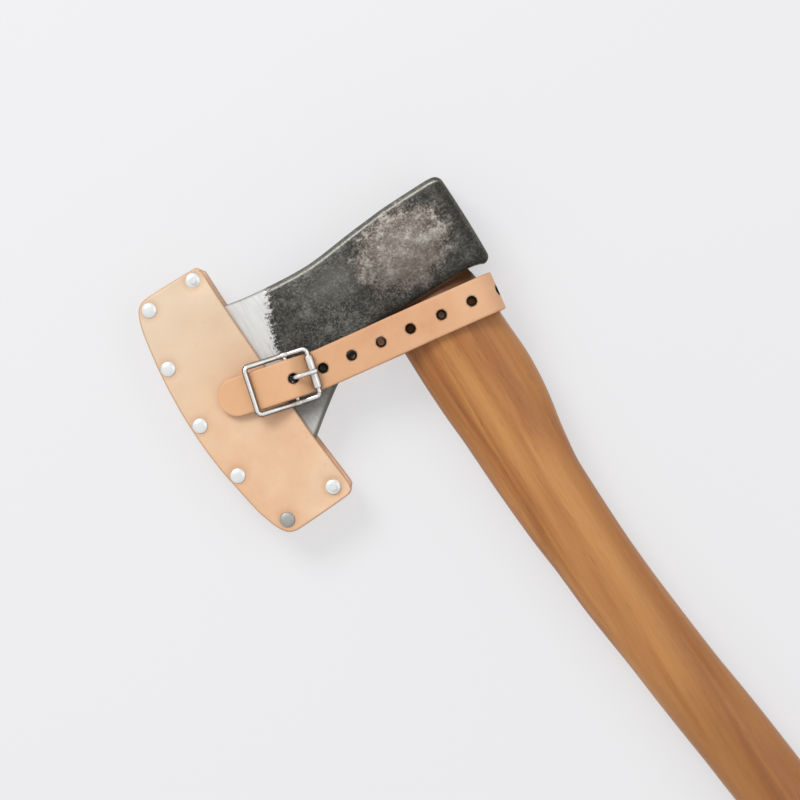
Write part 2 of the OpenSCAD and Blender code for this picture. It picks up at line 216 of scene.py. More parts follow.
# ------------------------------------------------------------------ materials
class Mat:
    def __init__(self, name):
        self.m = bpy.data.materials.new(name)
        self.m.use_nodes = True
        self.nt = self.m.node_tree
        self.n = self.nt.nodes
        self.b = self.n["Principled BSDF"]
        self.tc = self.n.new("ShaderNodeTexCoord")

    def link(self, a, b):
        self.nt.links.new(a, b)
        return self

    def mapped(self, scale=(1, 1, 1), loc=(0, 0, 0), rot=(0, 0, 0), uv=False):
        mp = self.n.new("ShaderNodeMapping")
        mp.inputs["Scale"].default_value = scale
        mp.inputs["Location"].default_value = loc
        mp.inputs["Rotation"].default_value = rot
        self.link(self.tc.outputs["UV" if uv else "Object"], mp.inputs["Vector"])
        return mp.outputs["Vector"]

    def noise(self, vec, scale, detail=4, rough=0.55, distortion=0.0, dims="3D"):
        t = self.n.new("ShaderNodeTexNoise")
        t.noise_dimensions = dims
        t.inputs["Scale"].default_value = scale
        t.inputs["Detail"].default_value = detail
        t.inputs["Roughness"].default_value = rough
        t.inputs["Distortion"].default_value = distortion
        self.link(vec, t.inputs["Vector"])
        return t.outputs["Fac"]

    def voronoi(self, vec, scale, feature="F1", rand=1.0):
        t = self.n.new("ShaderNodeTexVoronoi")
        t.feature = feature
        t.inputs["Scale"].default_value = scale
        t.inputs["Randomness"].default_value = rand
        self.link(vec, t.inputs["Vector"])
        return t.outputs["Distance"]

    def wave(self, vec, scale, distortion, detail=2, dscale=1.0, direction="X", kind="BANDS"):
        t = self.n.new("ShaderNodeTexWave")
        t.wave_type = kind
        if kind == "BANDS":
            t.bands_direction = direction
        else:
            t.rings_direction = direction
        t.inputs["Scale"].default_value = scale
        t.inputs["Distortion"].default_value = distortion
        t.inputs["Detail"].default_value = detail
        t.inputs["Detail Scale"].default_value = dscale
        self.link(vec, t.inputs["Vector"])
        return t.outputs["Fac"]

    def ramp(self, fac, stops, interp="LINEAR"):
        r = self.n.new("ShaderNodeValToRGB")
        r.color_ramp.interpolation = interp
        e = r.color_ramp.elements
        while len(e) > 1:
            e.remove(e[-1])
        e[0].position = stops[0][0]
        e[0].color = (*stops[0][1], 1)
        for pos, col in stops[1:]:
            x = e.new(pos)
            x.color = (*col, 1)
        self.link(fac, r.inputs["Fac"])
        return r.outputs["Color"]

    def mapr(self, v, a, b, c=0.0, d=1.0, smooth=False):
        m = self.n.new("ShaderNodeMapRange")
        if smooth:
            m.interpolation_type = "SMOOTHSTEP"
        self.link(v, m.inputs["Value"])
        m.inputs["From Min"].default_value = a
        m.inputs["From Max"].default_value = b
        m.inputs["To Min"].default_value = c
        m.inputs["To Max"].default_value = d
        return m.outputs["Result"]

    def math(self, op, a, b=None, clamp=False):
        m = self.n.new("ShaderNodeMath")
        m.operation = op
        m.use_clamp = clamp
        for i, v in enumerate((a, b)):
            if v is None:
                continue
            if isinstance(v, (int, float)):
                m.inputs[i].default_value = v
            else:
                self.link(v, m.inputs[i])
        return m.outputs[0]

    def mix(self, fac, a, b, blend="MIX"):
        m = self.n.new("ShaderNodeMix")
        m.data_type = "RGBA"
        m.blend_type = blend
        m.clamp_result = False
        for sock, v in ((m.inputs[0], fac), (m.inputs[6], a), (m.inputs[7], b)):
            if isinstance(v, (int, float)):
                sock.default_value = v
            elif isinstance(v, tuple):
                sock.default_value = (*v, 1)
            else:
                self.link(v, sock)
        return m.outputs[2]

    def attr(self, name):
        a = self.n.new("ShaderNodeAttribute")
        a.attribute_name = name
        return a.outputs["Fac"]

    def xyz(self, vec):
        s = self.n.new("ShaderNodeSeparateXYZ")
        self.link(vec, s.inputs[0])
        return s.outputs

    def bump(self, height, strength, dist, prev=None):
        b = self.n.new("ShaderNodeBump")
        b.inputs["Strength"].default_value = strength
        b.inputs["Distance"].default_value = dist
        self.link(height, b.inputs["Height"])
        if prev is not None:
            self.link(prev, b.inputs["Normal"])
        return b.outputs["Normal"]

    def out(self, color=None, rough=None, metal=None, normal=None):
        if color is not None:
            self.link(color, self.b.inputs["Base Color"])
        if rough is not None:
            if isinstance(rough, (int, float)):
                self.b.inputs["Roughness"].default_value = rough
            else:
                self.link(rough, self.b.inputs["Roughness"])
        if metal is not None:
            if isinstance(metal, (int, float)):
                self.b.inputs["Metallic"].default_value = metal
            else:
                self.link(metal, self.b.inputs["Metallic"])
        if normal is not None:
            self.link(normal, self.b.inputs["Normal"])
        return self.m


def srgb(r, g, b):
    f = lambda c: c / 12.92 if c <= 0.04045 else ((c + 0.055) / 1.055) ** 2.4
    return (f(r / 255), f(g / 255), f(b / 255))


def leather(name, light, mid, dark, along=None, hole_dark=False, edge="edge"):
    """Natural vegetable-tanned leather: soft clouds, fine pores, faint scratches, darker burnished edges."""
    M = Mat(name)
    v = M.mapped()
    clouds = M.noise(v, 26, 5, 0.6)
    clouds2 = M.noise(M.mapped(loc=(0.3, 0.1, 0.7)), 90, 6, 0.65)
    col = M.ramp(clouds, [(0.30, dark), (0.48, mid), (0.68, light)])
    col = M.mix(M.mapr(clouds2, 0.35, 0.7, 0.0, 0.35), col, mid)
    if along:
        # a slow change of tint down the piece, in the row's Y
        y = M.xyz(v)[along[4] if len(along) > 4 else 1]
        t = M.mapr(y, along[0], along[1], 0, 1, True)
        col = M.mix(M.math("MULTIPLY", t, along[3] if len(along) > 3 else 1.0), col, M.mix(0.75, col, along[2]))
    pores = M.voronoi(M.mapped(loc=(0.1, 0.2, 0.3)), 1500)
    pore = M.mapr(pores, 0.0, 0.35, 0.0, 1.0)
    fine = M.noise(v, 2600, 3, 0.6)
    col = M.mix(M.mapr(pores, 0.0, 0.22, 0.16, 0.0), col, dark)
    spots = M.mapr(M.noise(M.mapped(loc=(2.1, 0.4, 0.0)), 320, 2, 0.5), 0.70, 0.78, 0.0, 0.35, True)
    col = M.mix(spots, col, dark)
    streak = M.noise(M.mapped(scale=(1, 0.16, 1), rot=(0, 0, 0.5)), 420, 4, 0.6)
    col = M.mix(M.mapr(streak, 0.55, 0.8, 0.0, 0.18), col, light)
    halo = M.attr("halo")
    col = M.mix(M.mapr(halo, 0.0, 1.0, 0.0, 0.30), col, srgb(206, 148, 104))
    e = M.attr(edge)
    col = M.mix(M.mapr(e, 0.0, 1.0, 0.0, 1.0), col, M.mix(M.mapr(fine, 0.3, 0.7), srgb(188, 134, 94), srgb(216, 168, 128)))
    if hole_dark:
        # painted shade: the walls of the punched holes are painted near black
        h = M.attr("hole")
        col = M.mix(h, col, srgb(34, 19, 10))
    rough = M.math("ADD", M.mapr(clouds2, 0.3, 0.7, 0.40, 0.56), M.mapr(fine, 0.2, 0.8, -0.04, 0.04))
    n = M.bump(pore, 0.12, 0.00015)
    n = M.bump(fine, 0.10, 0.0001, n)
    n = M.bump(clouds, 0.25, 0.0012, n)
    M.b.inputs["Specular IOR Level"].default_value = 0.42
    M.b.inputs["Subsurface Weight"].default_value = 0.04
    M.b.inputs["Subsurface Radius"].default_value = (0.004, 0.002, 0.001)
    M.b.inputs["Subsurface Scale"].default_value = 0.4
    return M.out(col, rough, 0.0, n)


def nickel(name, base=(0.93, 0.92, 0.90), rough0=0.16, scratch=1.0, metal=0.6):
    M = Mat(name)
    v = M.mapped()
    a = M.noise(v, 160, 4, 0.6)
    s = M.noise(M.mapped(scale=(1, 0.08, 1), rot=(0, 0, 0.6)), 2600, 3, 0.6)
    dirt = M.mapr(M.noise(M.mapped(loc=(0.5, 0.2, 0.1)), 420, 4, 0.6), 0.58, 0.74, 0.0, 0.22, True)
    col = M.mix(M.mapr(a, 0.3, 0.7), base, tuple(c * 0.90 for c in base))
    col = M.mix(dirt, col, (0.33, 0.29, 0.25))
    # painted shade and painted reflection of the leather on the flanks of the wire, where the surface faces sideways;
    # the crown keeps the bright plate
    flank = M.attr("flank")
    col = M.mix(M.mapr(flank, 0.0, 1.0, 0.0, 0.93), col, (0.075, 0.052, 0.035))
    rough = M.math("ADD", M.mapr(a, 0.3, 0.75, rough0 * 0.8, rough0 * 1.7), M.mapr(s, 0.45, 0.7, 0.0, 0.10 * scratch))
    n = M.bump(s, 0.02 * scratch, 0.00005)
    n = M.bump(a, 0.04, 0.0001, n)
    return M.out(col, rough, metal, n)


def forged(name):
    """Black forge scale with pits, a lighter worn patch over the eye, and the ground bright bevel behind the edge."""
    M = Mat(name)
    v = M.mapped()
    big = M.noise(v, 42, 6, 0.62)
    med = M.noise(M.mapped(loc=(0.3, 0.7, 0.2)), 190, 7, 0.68)
    fin = M.noise(M.mapped(loc=(0.1, 0.4, 0.6)), 900, 5, 0.7)
    scale_col = M.ramp(med, [(0.34, srgb(40, 39, 36)), (0.45, srgb(62, 61, 57)), (0.54, srgb(84, 83, 78)), (0.66, srgb(120, 118, 112))])
    speck = M.noise(M.mapped(loc=(0.8, 0.3, 0.2)), 1500, 3, 0.7)
    scale_col = M.mix(M.mapr(fin, 0.52, 0.64, 0.0, 0.60), scale_col, srgb(140, 138, 131))
    scale_col = M.mix(M.mapr(fin, 0.47, 0.36, 0.0, 0.9), scale_col, srgb(24, 23, 21))
    scale_col = M.mix(M.mapr(speck, 0.58, 0.70, 0.0, 0.5), scale_col, srgb(176, 174, 166))
    scale_col = M.mix(M.mapr(big, 0.35, 0.65, 0.22, 0.0), scale_col, srgb(60, 60, 56))
    # painted shade: darker along the poll edge, along the lower edge and under the eye bulge, where the head turns away
    # from the light; also darker toward the blade
    head_shade = M.attr("head_shade")
    scale_col = M.mix(M.mapr(head_shade, 0.0, 1.0, 0.0, 0.62), scale_col, srgb(38, 35, 30))
    scale_col = M.mix(M.mapr(M.attr("cheek"), 0.0, 1.0, 0.0, 0.42), scale_col, srgb(134, 133, 128))
    # worn, brown-grey patch on the eye bulge
    eye = M.attr("eye")
    eye_n = M.math("ADD", eye, M.math("ADD", M.mapr(med, 0.3, 0.7, -0.22, 0.22), M.mapr(fin, 0.3, 0.7, -0.14, 0.14)))
    eye_f = M.mapr(eye_n, 0.10, 0.62, 0.0, 1.0, True)
    patch = M.ramp(med, [(0.33, srgb(70, 61, 54)), (0.44, srgb(108, 98, 89)), (0.54, srgb(146, 137, 128)), (0.66, srgb(206, 200, 191))])
    patch = M.mix(M.mapr(M.noise(M.mapped(loc=(1.3, 0.2, 0.9)), 260, 5, 0.6), 0.50, 0.68, 0.0, 0.5), patch, srgb(122, 100, 88))
    patch = M.mix(M.mapr(fin, 0.47, 0.36, 0.0, 0.75), patch, srgb(64, 56, 50))
    patch = M.mix(M.mapr(fin, 0.53, 0.66, 0.0, 0.6), patch, srgb(202, 196, 188))
    patch = M.mix(M.mapr(speck, 0.60, 0.70, 0.0, 0.65), patch, srgb(214, 208, 200))
    # the middle of the bulge is rubbed the palest
    patch = M.mix(M.mapr(eye, 0.55, 1.0, 0.0, 0.26, True), patch, srgb(176, 168, 160))
    # painted shade on the lower side of the eye bulge
    patch = M.mix(M.mapr(M.attr("eye_low_shade"), 0.0, 1.0, 0.0, 0.55), patch, srgb(80, 70, 62))
    col = M.mix(eye_f, scale_col, patch)
    # the rounded upper edge: a mid-grey lip outside, and a painted highlight line inside it
    lip = M.attr("lip")
    col = M.mix(M.mapr(lip, 0.0, 1.0, 0.0, 0.75), col, M.mix(M.mapr(fin, 0.3, 0.7), srgb(84, 84, 76), srgb(116, 115, 106)))
    rim = M.attr("rim")
    rim_highlight_w = M.math("MULTIPLY", rim, M.mapr(fin, 0.28, 0.50, 0.45, 1.0, True))
    col = M.mix(M.mapr(rim_highlight_w, 0.0, 1.0, 0.0, 0.92), col, M.mix(M.mapr(fin, 0.3, 0.7), srgb(206, 204, 192), srgb(232, 230, 219)))
    # the ground bevel, with an uneven speckled border
    g = M.attr("ground")
    border = M.math("ADD", g, M.math("ADD", M.mapr(med, 0.3, 0.7, -0.16, 0.16), M.mapr(fin, 0.35, 0.65, -0.30, 0.30)))
    gf = M.mapr(border, 0.33, 0.68, 0.0, 1.0, True)
    brush = M.noise(M.mapped(scale=(1.0, 0.04, 1.0), rot=(0, 0, 0.10)), 1500, 4, 0.6)
    bright = M.mix(M.mapr(brush, 0.3, 0.7), srgb(212, 212, 210), srgb(236, 236, 234))
    bright = M.mix(M.mapr(M.noise(v, 60, 4, 0.6), 0.45, 0.7, 0.0, 0.35), bright, srgb(204, 205, 204))
    # painted shadow of the strap and buckle on the bright bevel
    darkened = M.attr("darkened")
    bright = M.mix(M.mapr(darkened, 0.0, 1.0, 0.0, 0.8), bright, M.mix(M.mapr(fin, 0.4, 0.6), srgb(62, 60, 53), srgb(112, 110, 100)))
    line = M.attr("outline")
    bright = M.mix(M.mapr(line, 0.0, 1.0, 0.0, 0.8), bright, srgb(92, 90, 82))
    col = M.mix(gf, col, bright)
    rough = M.math("ADD", M.mapr(med, 0.3, 0.7, 0.40, 0.62), M.mapr(fin, 0.3, 0.7, -0.05, 0.05))
    rg = M.n.new("ShaderNodeMix")
    M.link(gf, rg.inputs[0])
    M.link(rough, rg.inputs[2])
    rg.inputs[3].default_value = 0.36
    metal = M.mapr(gf, 0.0, 1.0, 0.60, 0.30)
    hgt = M.math("ADD", M.math("MULTIPLY", med, 0.8), M.math("MULTIPLY", fin, 0.35))
    pit = M.mapr(M.voronoi(M.mapped(loc=(0.7, 0.1, 0.4)), 330), 0.05, 0.35, 0.0, 1.0, True)
    calm = M.mapr(gf, 0.0, 1.0, 1.0, 0.06)
    hh = M.math("MULTIPLY", M.math("ADD", hgt, M.math("MULTIPLY", pit, M.mapr(eye_f, 0, 1, 0.12, 0.55))), calm)
    n = M.bump(hh, 0.75, 0.0007)
    n = M.bump(M.math("MULTIPLY", brush, gf), 0.08, 0.00004, n)
    return M.out(col, rg.outputs[0], metal, n)


def steel(name, base=(0.42, 0.42, 0.42), rough0=0.38):
    M = Mat(name)
    v = M.mapped()
    a = M.noise(v, 380, 6, 0.65)
    b = M.noise(M.mapped(scale=(1, 0.1, 1)), 2200, 3, 0.6)
    col = M.mix(M.mapr(a, 0.3, 0.7), tuple(c * 0.75 for c in base), base)
    return M.out(col, M.mapr(a, 0.3, 0.7, rough0 * 0.8, rough0 * 1.3), 1.0, M.bump(b, 0.12, 0.0001, M.bump(a, 0.2, 0.0003)))


def hickory(name, pale=False):
    """Oiled hickory: long grain with cathedral figure, short dark pores and a slow change from honey to brown."""
    M = Mat(name)
    # grain runs along the haft, which leans a little from the row's Y
    lean = (0, 0, -0.085)
    v = M.mapped(rot=lean)
    warp = M.noise(M.mapped(scale=(1, 0.12, 1), rot=lean), 26, 3, 0.5)
    comb = M.n.new("ShaderNodeVectorMath")
    comb.operation = "ADD"
    sc = M.mapped(scale=(1.0, 0.055, 1.5), rot=lean)
    wv = M.n.new("ShaderNodeCombineXYZ")
    M.link(M.mapr(warp, 0.2, 0.8, -0.010, 0.010), wv.inputs[0])
    M.link(sc, comb.inputs[0])
    M.link(wv.outputs[0], comb.inputs[1])
    rings = M.noise(comb.outputs[0], 170, 4, 0.55, 0.6)
    bands = M.wave(comb.outputs[0], 42, 5.0, 3, 2.2, "X")
    fibre = M.noise(M.mapped(scale=(1, 0.022, 1), rot=lean), 1500, 5, 0.6)
    pores = M.noise(M.mapped(scale=(1, 0.045, 1), rot=lean, loc=(0.2, 0.1, 0.4)), 2300, 2, 0.5)
    if pale:
        c0, c1, c2 = srgb(150, 110, 66), srgb(205, 168, 116), srgb(226, 196, 148)
    else:
        c0, c1, c2 = srgb(138, 82, 36), srgb(184, 120, 61), srgb(208, 148, 84)
    col = M.ramp(rings, [(0.20, c0), (0.49, c1), (0.80, c2)])
    col = M.mix(M.mapr(bands, 0.0, 1.0, 0.0, 0.16), col, c0)
    col = M.mix(M.mapr(fibre, 0.35, 0.65, 0.28, 0.0), col, c0)
    col = M.mix(M.mapr(pores, 0.62, 0.72, 0.0, 0.55), col, srgb(104, 62, 32))
    streak = M.noise(M.mapped(scale=(1, 0.035, 1), rot=lean, loc=(0.7, 0.0, 0.1)), 110, 4, 0.55)
    col = M.mix(M.mapr(streak, 0.56, 0.70, 0.0, 0.22, True), col, srgb(124, 72, 34))
    col = M.mix(M.mapr(streak, 0.42, 0.30, 0.0, 0.30, True), col, c2)
    if not pale:
        y = M.xyz(v)[1]
        flow = M.noise(M.mapped(scale=(1, 0.10, 1), rot=lean, loc=(0.15, 0.35, 0.2)), 34, 3, 0.5)
        col = M.mix(M.mapr(flow, 0.50, 0.62, 0.0, 0.45, True), col, srgb(214, 154, 92))
        col = M.mix(M.mapr(flow, 0.48, 0.38, 0.0, 0.35, True), col, srgb(150, 92, 46))
        # painted highlight along the crest of the grip (honey), then darker wood behind the neck and painted shade on
        # the back edge (neck)
        col = M.mix(M.mapr(M.attr("honey"), 0.0, 1.0, 0.0, 0.42), col, srgb(224, 164, 94))
        col = M.mix(M.mapr(M.attr("neck"), 0.0, 1.0, 0.0, 0.34), col, srgb(144, 84, 38))
        col = M.mix(M.mapr(y, OFF.y - 0.222, OFF.y - 0.268, 0.0, 0.24, True), col, srgb(140, 84, 36))
        col = M.mix(M.mapr(y, OFF.y - 0.06, OFF.y - 0.33, 0.0, 0.34, True), col, srgb(142, 86, 42))
        # painted shadow on the wood close under the head
        col = M.mix(M.mapr(M.attr("under_head_shadow"), 0.0, 1.0, 0.0, 0.80), col, srgb(78, 47, 26))
    rough = M.math("ADD", M.mapr(fibre, 0.3, 0.7, 0.36, 0.50), M.mapr(pores, 0.62, 0.72, 0.0, 0.15))
    n = M.bump(fibre, 0.22, 0.00012)
    n = M.bump(M.mapr(pores, 0.62, 0.72, 1.0, 0.0), 0.25, 0.00012, n)
    M.b.inputs["Specular IOR Level"].default_value = 0.45
    M.b.inputs["Coat Weight"].default_value = 0.12
    M.b.inputs["Coat Roughness"].default_value = 0.3
    return M.out(col, rough, 0.0, n)


def end_grain(name):
    M = Mat(name)
    v = M.mapped()
    r = M.wave(M.mapped(scale=(0.5, 1, 1)), 330, 2.5, 2, 1.5, "Z")
    p = M.voronoi(v, 2600)
    col = M.mix(M.mapr(r, 0, 1, 0, 0.6), srgb(214, 182, 134), srgb(160, 120, 76))
    col = M.mix(M.mapr(p, 0.0, 0.3, 0.6, 0.0), col, srgb(110, 76, 44))
    return M.out(col, 0.62, 0.0, M.bump(p, 0.3, 0.0002))


def set_attr(ob, name, fn):
    """A float attribute per vertex from a function of the design point in mm."""
    a = ob.data.attributes.get(name) or ob.data.attributes.new(name, "FLOAT", "POINT")
    vals = []
    for v in ob.data.vertices:
        d = v.co - OFF
        vals.append(float(fn(d.x * 1000, d.y * 1000, d.z * 1000)))
    a.data.foreach_set("value", vals)


m_leather = leather("sheath_leather_natural", srgb(240, 205, 172), srgb(230, 186, 148), srgb(214, 164, 124),
                    along=(OFF.y - 0.05, OFF.y + 0.046, srgb(227, 209, 183)))
m_strap = leather("strap_leather_natural", srgb(230, 184, 144), srgb(221, 169, 128), srgb(208, 150, 110), hole_dark=True,
                  along=(OFF.x - 0.02, OFF.x - 0.10, srgb(230, 180, 134), 0.8, 0))
m_welt = leather("welt_leather_edge", srgb(222, 168, 130), srgb(206, 150, 112), srgb(178, 124, 88))
m_head = forged("forged_steel")
m_wood = hickory("oiled_hickory")
m_wedge = end_grain("wedge_end_grain")
m_ring = steel("ring_steel_satin")
m_nickel = nickel("nickel_plate")
m_rivet = nickel("nickel_rivet", base=(0.90, 0.92, 0.92), rough0=0.24, scratch=0.6, metal=0.35)
m_rivet_dull = nickel("nickel_rivet_dull", base=(0.46, 0.45, 0.43), rough0=0.42, scratch=1.6)


def set_flank(ob, lo=0.64, hi=0.965):
    """1 where the surface faces sideways, 0 on the crown, kept with the mesh; the nickel materials paint shade and
    reflected leather colour where it is 1.
    """
    a = ob.data.attributes.get("flank") or ob.data.attributes.new("flank", "FLOAT", "POINT")
    a.data.foreach_set("value", [sstep(hi, lo, abs(v.normal.z)) for v in ob.data.vertices])


def dress(ob, mat, body, slot, *nodes):
    ob.data.materials.clear()
    ob.data.materials.append(mat)
    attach(ob, body)
    if nodes:
        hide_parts(*nodes)


# ------------------------------------------------------------------ head
TOP = [(31, 22.4), (28, 23.8), (24, 24.15), (10.5, 24.0), (1.5, 23.8), (-7.5, 23.1), (-16.5, 22.4), (-25.5, 21.5), (-34.5, 20.6), (-41.2, 20.25),
       (-48, 20.45), (-57, 21.15), (-66, 22.05), (-75, 23.35), (-79.5, 24.2), (-93, 27.6), (-107.8, 31.4)]
BOT = [(31, -20.4), (28.4, -21.3), (26, -20.3), (20, -19.15), (0, -18.8), (-21, -18.65), (-28, -19.6), (-34.5, -21.55), (-45.7, -25.65), (-58.3, -32.85),
       (-69.1, -40.4), (-79.7, -48.4), (-93, -58.4), (-104.7, -66.9)]
HALF = [(-113.75, 0.12), (-110, 0.42), (-104.7, 1.05), (-93, 2.4), (-86, 3.25), (-79.7, 4.0), (-69, 4.8), (-58.3, 5.9), (-52, 6.75), (-45.7, 7.7),
        (-40, 8.75), (-34.5, 9.85), (-30, 10.9), (-26, 11.95), (-22, 13.0), (-18, 14.1), (-14, 15.0), (-10, 15.55), (-5, 15.8), (5, 15.8),
        (10, 15.55), (15, 15.1), (19, 14.6), (23, 14.2), (28, 14.1), (31, 13.9)]
EDGE = [(-107.8, 31.4), (-110.2, 20), (-112.2, 6), (-113.3, -6), (-113.6, -17), (-113.1, -29), (-111.7, -41), (-109.3, -53), (-104.7, -66.9)]
TOPr = [(a, b) for a, b in reversed(TOP)]
BOTr = [(a, b) for a, b in reversed(BOT)]
edge_pts = spline([(x, y, 0) for x, y in EDGE], 12)
EDGEt = []
_acc = 0.0
for _i, _p in enumerate(edge_pts):
    if _i:
        _acc += (_p - edge_pts[_i - 1]).length
    EDGEt.append((_acc, _p))
edge_len = _acc


def edge_at(t):
    d = t * edge_len
    for (a, pa), (b, pb) in zip(EDGEt, EDGEt[1:]):
        if d <= b:
            return pa.lerp(pb, (d - a) / (b - a))
    return EDGEt[-1][1]


def head_xy(s, t):
    """s from the poll (0) to the cutting edge (1); t from the top edge (0) to the lower edge (1)."""
    xt = 31 + (-107.8 - 31) * s
    xb = 31 + (-104.7 - 31) * s
    top = Vector((xt, smooth_lookup(xt, TOPr), 0))
    bot = Vector((xb, smooth_lookup(xb, BOTr), 0))
    p = top.lerp(bot, t)
    w = sstep(0.45, 1.0, s)
    chord = edge_at(0).lerp(edge_at(1), t)
    p = p + (edge_at(t) - chord) * w
    crown = 0.35 * (1 - (2 * t - 1) ** 2) * (1 - sstep(0, 0.12, s))
    p.x -= 0.35 * (1 - sstep(0, 0.12, s)) - crown
    return p


def head_half(s, t):
    xe = 31 + (-113.75 - 31) * s
    h = smooth_lookup(xe, HALF)
    # the cheeks are lower away from the middle of the eye, so the bulge reads as an oval
    bulge = math.exp(-((xe - 2) / 19) ** 2)
    d = abs(2 * t - 1)
    h -= bulge * 1.1 * sstep(0.55, 1.0, d)
    h -= 0.6 * sstep(0.78, 1.0, d) * (1 - sstep(0.55, 0.9, s))
    # hammer marks
    k = 1 - sstep(0.42, 0.62, s)
    p = head_xy(s, t)
    h -= k * 0.30 * (0.5 + 0.5 * noise.noise(Vector((p.x * 0.085, p.y * 0.085, 3.1))))
    h -= k * 0.16 * (0.5 + 0.5 * noise.noise(Vector((p.x * 0.26, p.y * 0.26, 7.7))))
    return max(0.06, h)


def make_head():
    ss = [0.0, 0.0035, 0.008, 0.014, 0.022, 0.032] + [0.032 + (0.968 * i / 118) for i in range(1, 119)]
    inner = 46
    rings = []
    for s in ss:
        ring = []
        pt, pb = head_xy(s, 0), head_xy(s, 1)
        span = (pb - pt).length
        c = min(1.3, 0.32 * head_half(s, 0.5) + 0.05)      # chamfer width at the rim
        # the poll's face is rounded over: the first sections are smaller
        shrink = {0: 1.5, 1: 0.75, 2: 0.30, 3: 0.08}.get(ss.index(s), 0.0)
        ts = [c / span] + [(c + d) / span for d in (0.3, 0.6, 0.9, 1.25, 1.7, 2.2)]
        ts += [ts[-1] + (1 - (c + 1.2) / span - ts[-1]) * i / inner for i in range(1, inner)] + [1 - (c + q) / span for q in (1.2, 0.6, 0.0)]
        for sign in (1, -1):
            seq = ts if sign == 1 else ts[::-1]
            rim = head_half(s, 0.02)
            if sign == 1:
                ring.append((pt, 0.0))
            for t in seq:
                ring.append((head_xy(s, t), sign * (head_half(s, t))))
            if sign == 1:
                # lower wall
                for f in (1, 0.5, 0, -0.5, -1):
                    ring.append((pb, f * (head_half(s, 0.98) - c * 0.9)))
            else:
                for f in (-1, -0.5):
                    ring.append((pt, f * (head_half(s, 0.02) - c * 0.9)))
        # upper wall, closing the loop
        ring = [(pt, 0.5 * (head_half(s, 0.02) - c * 0.9)), (pt, head_half(s, 0.02) - c * 0.9)] + ring[1:] + [(pt, 0.0)]
        mid = head_xy(s, 0.5)
        out = []
        for p, z in ring:
            q = p.copy()
            if shrink:
                dy = q.y - mid.y
                q.y = mid.y + math.copysign(max(0, abs(dy) - shrink), dy)
                z = math.copysign(max(0, abs(z) - shrink), z)
            out.append((q.x, q.y, z))
        rings.append(out)
    verts, faces = loft(rings)
    ob = build("forged_head", verts, faces, angle=38)
    return ob


def oval(cx, a, b, n, k):
    out = []
    for i in range(k):
        t = 2 * math.pi * i / k
        c, s = math.cos(t), math.sin(t)
        out.append((cx + a * math.copysign(abs(c) ** (2 / n), c), b * math.copysign(abs(s) ** (2 / n), s)))
    return out


def y_prism(name, prof, y0, y1):
    r0 = [(x, y0, z) for x, z in prof]
    r1 = [(x, y1, z) for x, z in prof]
    v, f = loft([r0, r1])
    return build(name, v, f, smooth=False)


head = make_head()
cut(head, [y_prism("eye_cutter", oval(-1.5, 21.45, 9.95, 2.1, 96), -40, 45)], angle=38)


def seg_dist(px, py, pts):
    best = 1e9
    for (ax, ay), (bx, by) in zip(pts, pts[1:]):
        dx, dy = bx - ax, by - ay
        t = max(0, min(1, ((px - ax) * dx + (py - ay) * dy) / max(1e-12, dx * dx + dy * dy)))
        best = min(best, math.hypot(px - ax - t * dx, py - ay - t * dy))
    return best


# where the ground bevel ends, from the top edge to the lower edge
GROUND = [(20.5, -62.4), (13.4, -65.8), (5, -69.6), (1.3, -71.0), (-4.2, -72.3), (-8, -72.6), (-18, -70), (-26, -64), (-34, -57), (-45, -50)]
GROUNDr = sorted(GROUND)


def near_top(x, y):
    return seg_dist(x, y, TOP)


def near_bottom(x, y):
    return seg_dist(x, y, BOT)


set_attr(head, "ground", lambda x, y, z: sstep(5.5, -5.5, x - lookup(y, GROUNDr)))
set_attr(head, "eye", lambda x, y, z: max(0.0, 1.0 - (((x + 1.0) / 28.5) ** 2 + ((y - 3.6 - 0.04 * x) / 22.0) ** 2) ** 1.1) if abs(z) > 8 else 0.0)
# painted shade on the lower side of the eye bulge
set_attr(head, "eye_low_shade", lambda x, y, z: sstep(8.0, -8.0, y + 0.15 * x))
set_attr(head, "cheek", lambda x, y, z: math.exp(-((x + 35.0) / 13.0) ** 2 - ((y - 8.0) / 8.0) ** 2))
# painted highlight line along the rounded top edge
set_attr(head, "rim", lambda x, y, z: 0.85 * math.exp(-((near_top(x, y) - 2.0) / 0.40) ** 2) * (0.0 if abs(z) < 0.5 else 1.0) * sstep(-80, -62, x) * sstep(31, 26, x))
set_attr(head, "lip", lambda x, y, z: max(sstep(1.6, 1.0, near_top(x, y)) * sstep(-70, -60, x), sstep(1.5, 0.8, 31 - x)))
set_attr(head, "outline", lambda x, y, z: max(sstep(1.0, 0.3, near_top(x, y)), sstep(2.2, 1.2, near_bottom(x, y))))
# painted shadow of the strap and buckle on the bright bevel, fading out further down
set_attr(head, "darkened", lambda x, y, z: sstep(-12, -24, y) * (1 - 0.8 * sstep(-33, -46, y)) * sstep(-92, -76, x))
# painted shade along the poll edge, under the eye bulge and along the lower edge; also darker toward the blade
set_attr(head, "head_shade", lambda x, y, z: max(sstep(1.1, 1.8, 31 - x) * (1 - 0.65 * sstep(3.0, 8.0, 31 - x)) * (1 - sstep(8.0, 16.0, 31 - x)),
                                           0.85 * math.exp(-((x + 25.5) / 7.0) ** 2 - ((y + 5.0) / 5.5) ** 2),
                                           0.45 * sstep(-50, -62, x) * sstep(2.0, 5.0, near_top(x, y)),
                                           0.8 * sstep(7.0, 1.0, near_bottom(x, y)) * sstep(-60, -50, x),
                                           0.55 * sstep(2.0, -14.0, y) * sstep(-30, -18, x)))
dress(head, m_head, "axe", "head_steel", "head")

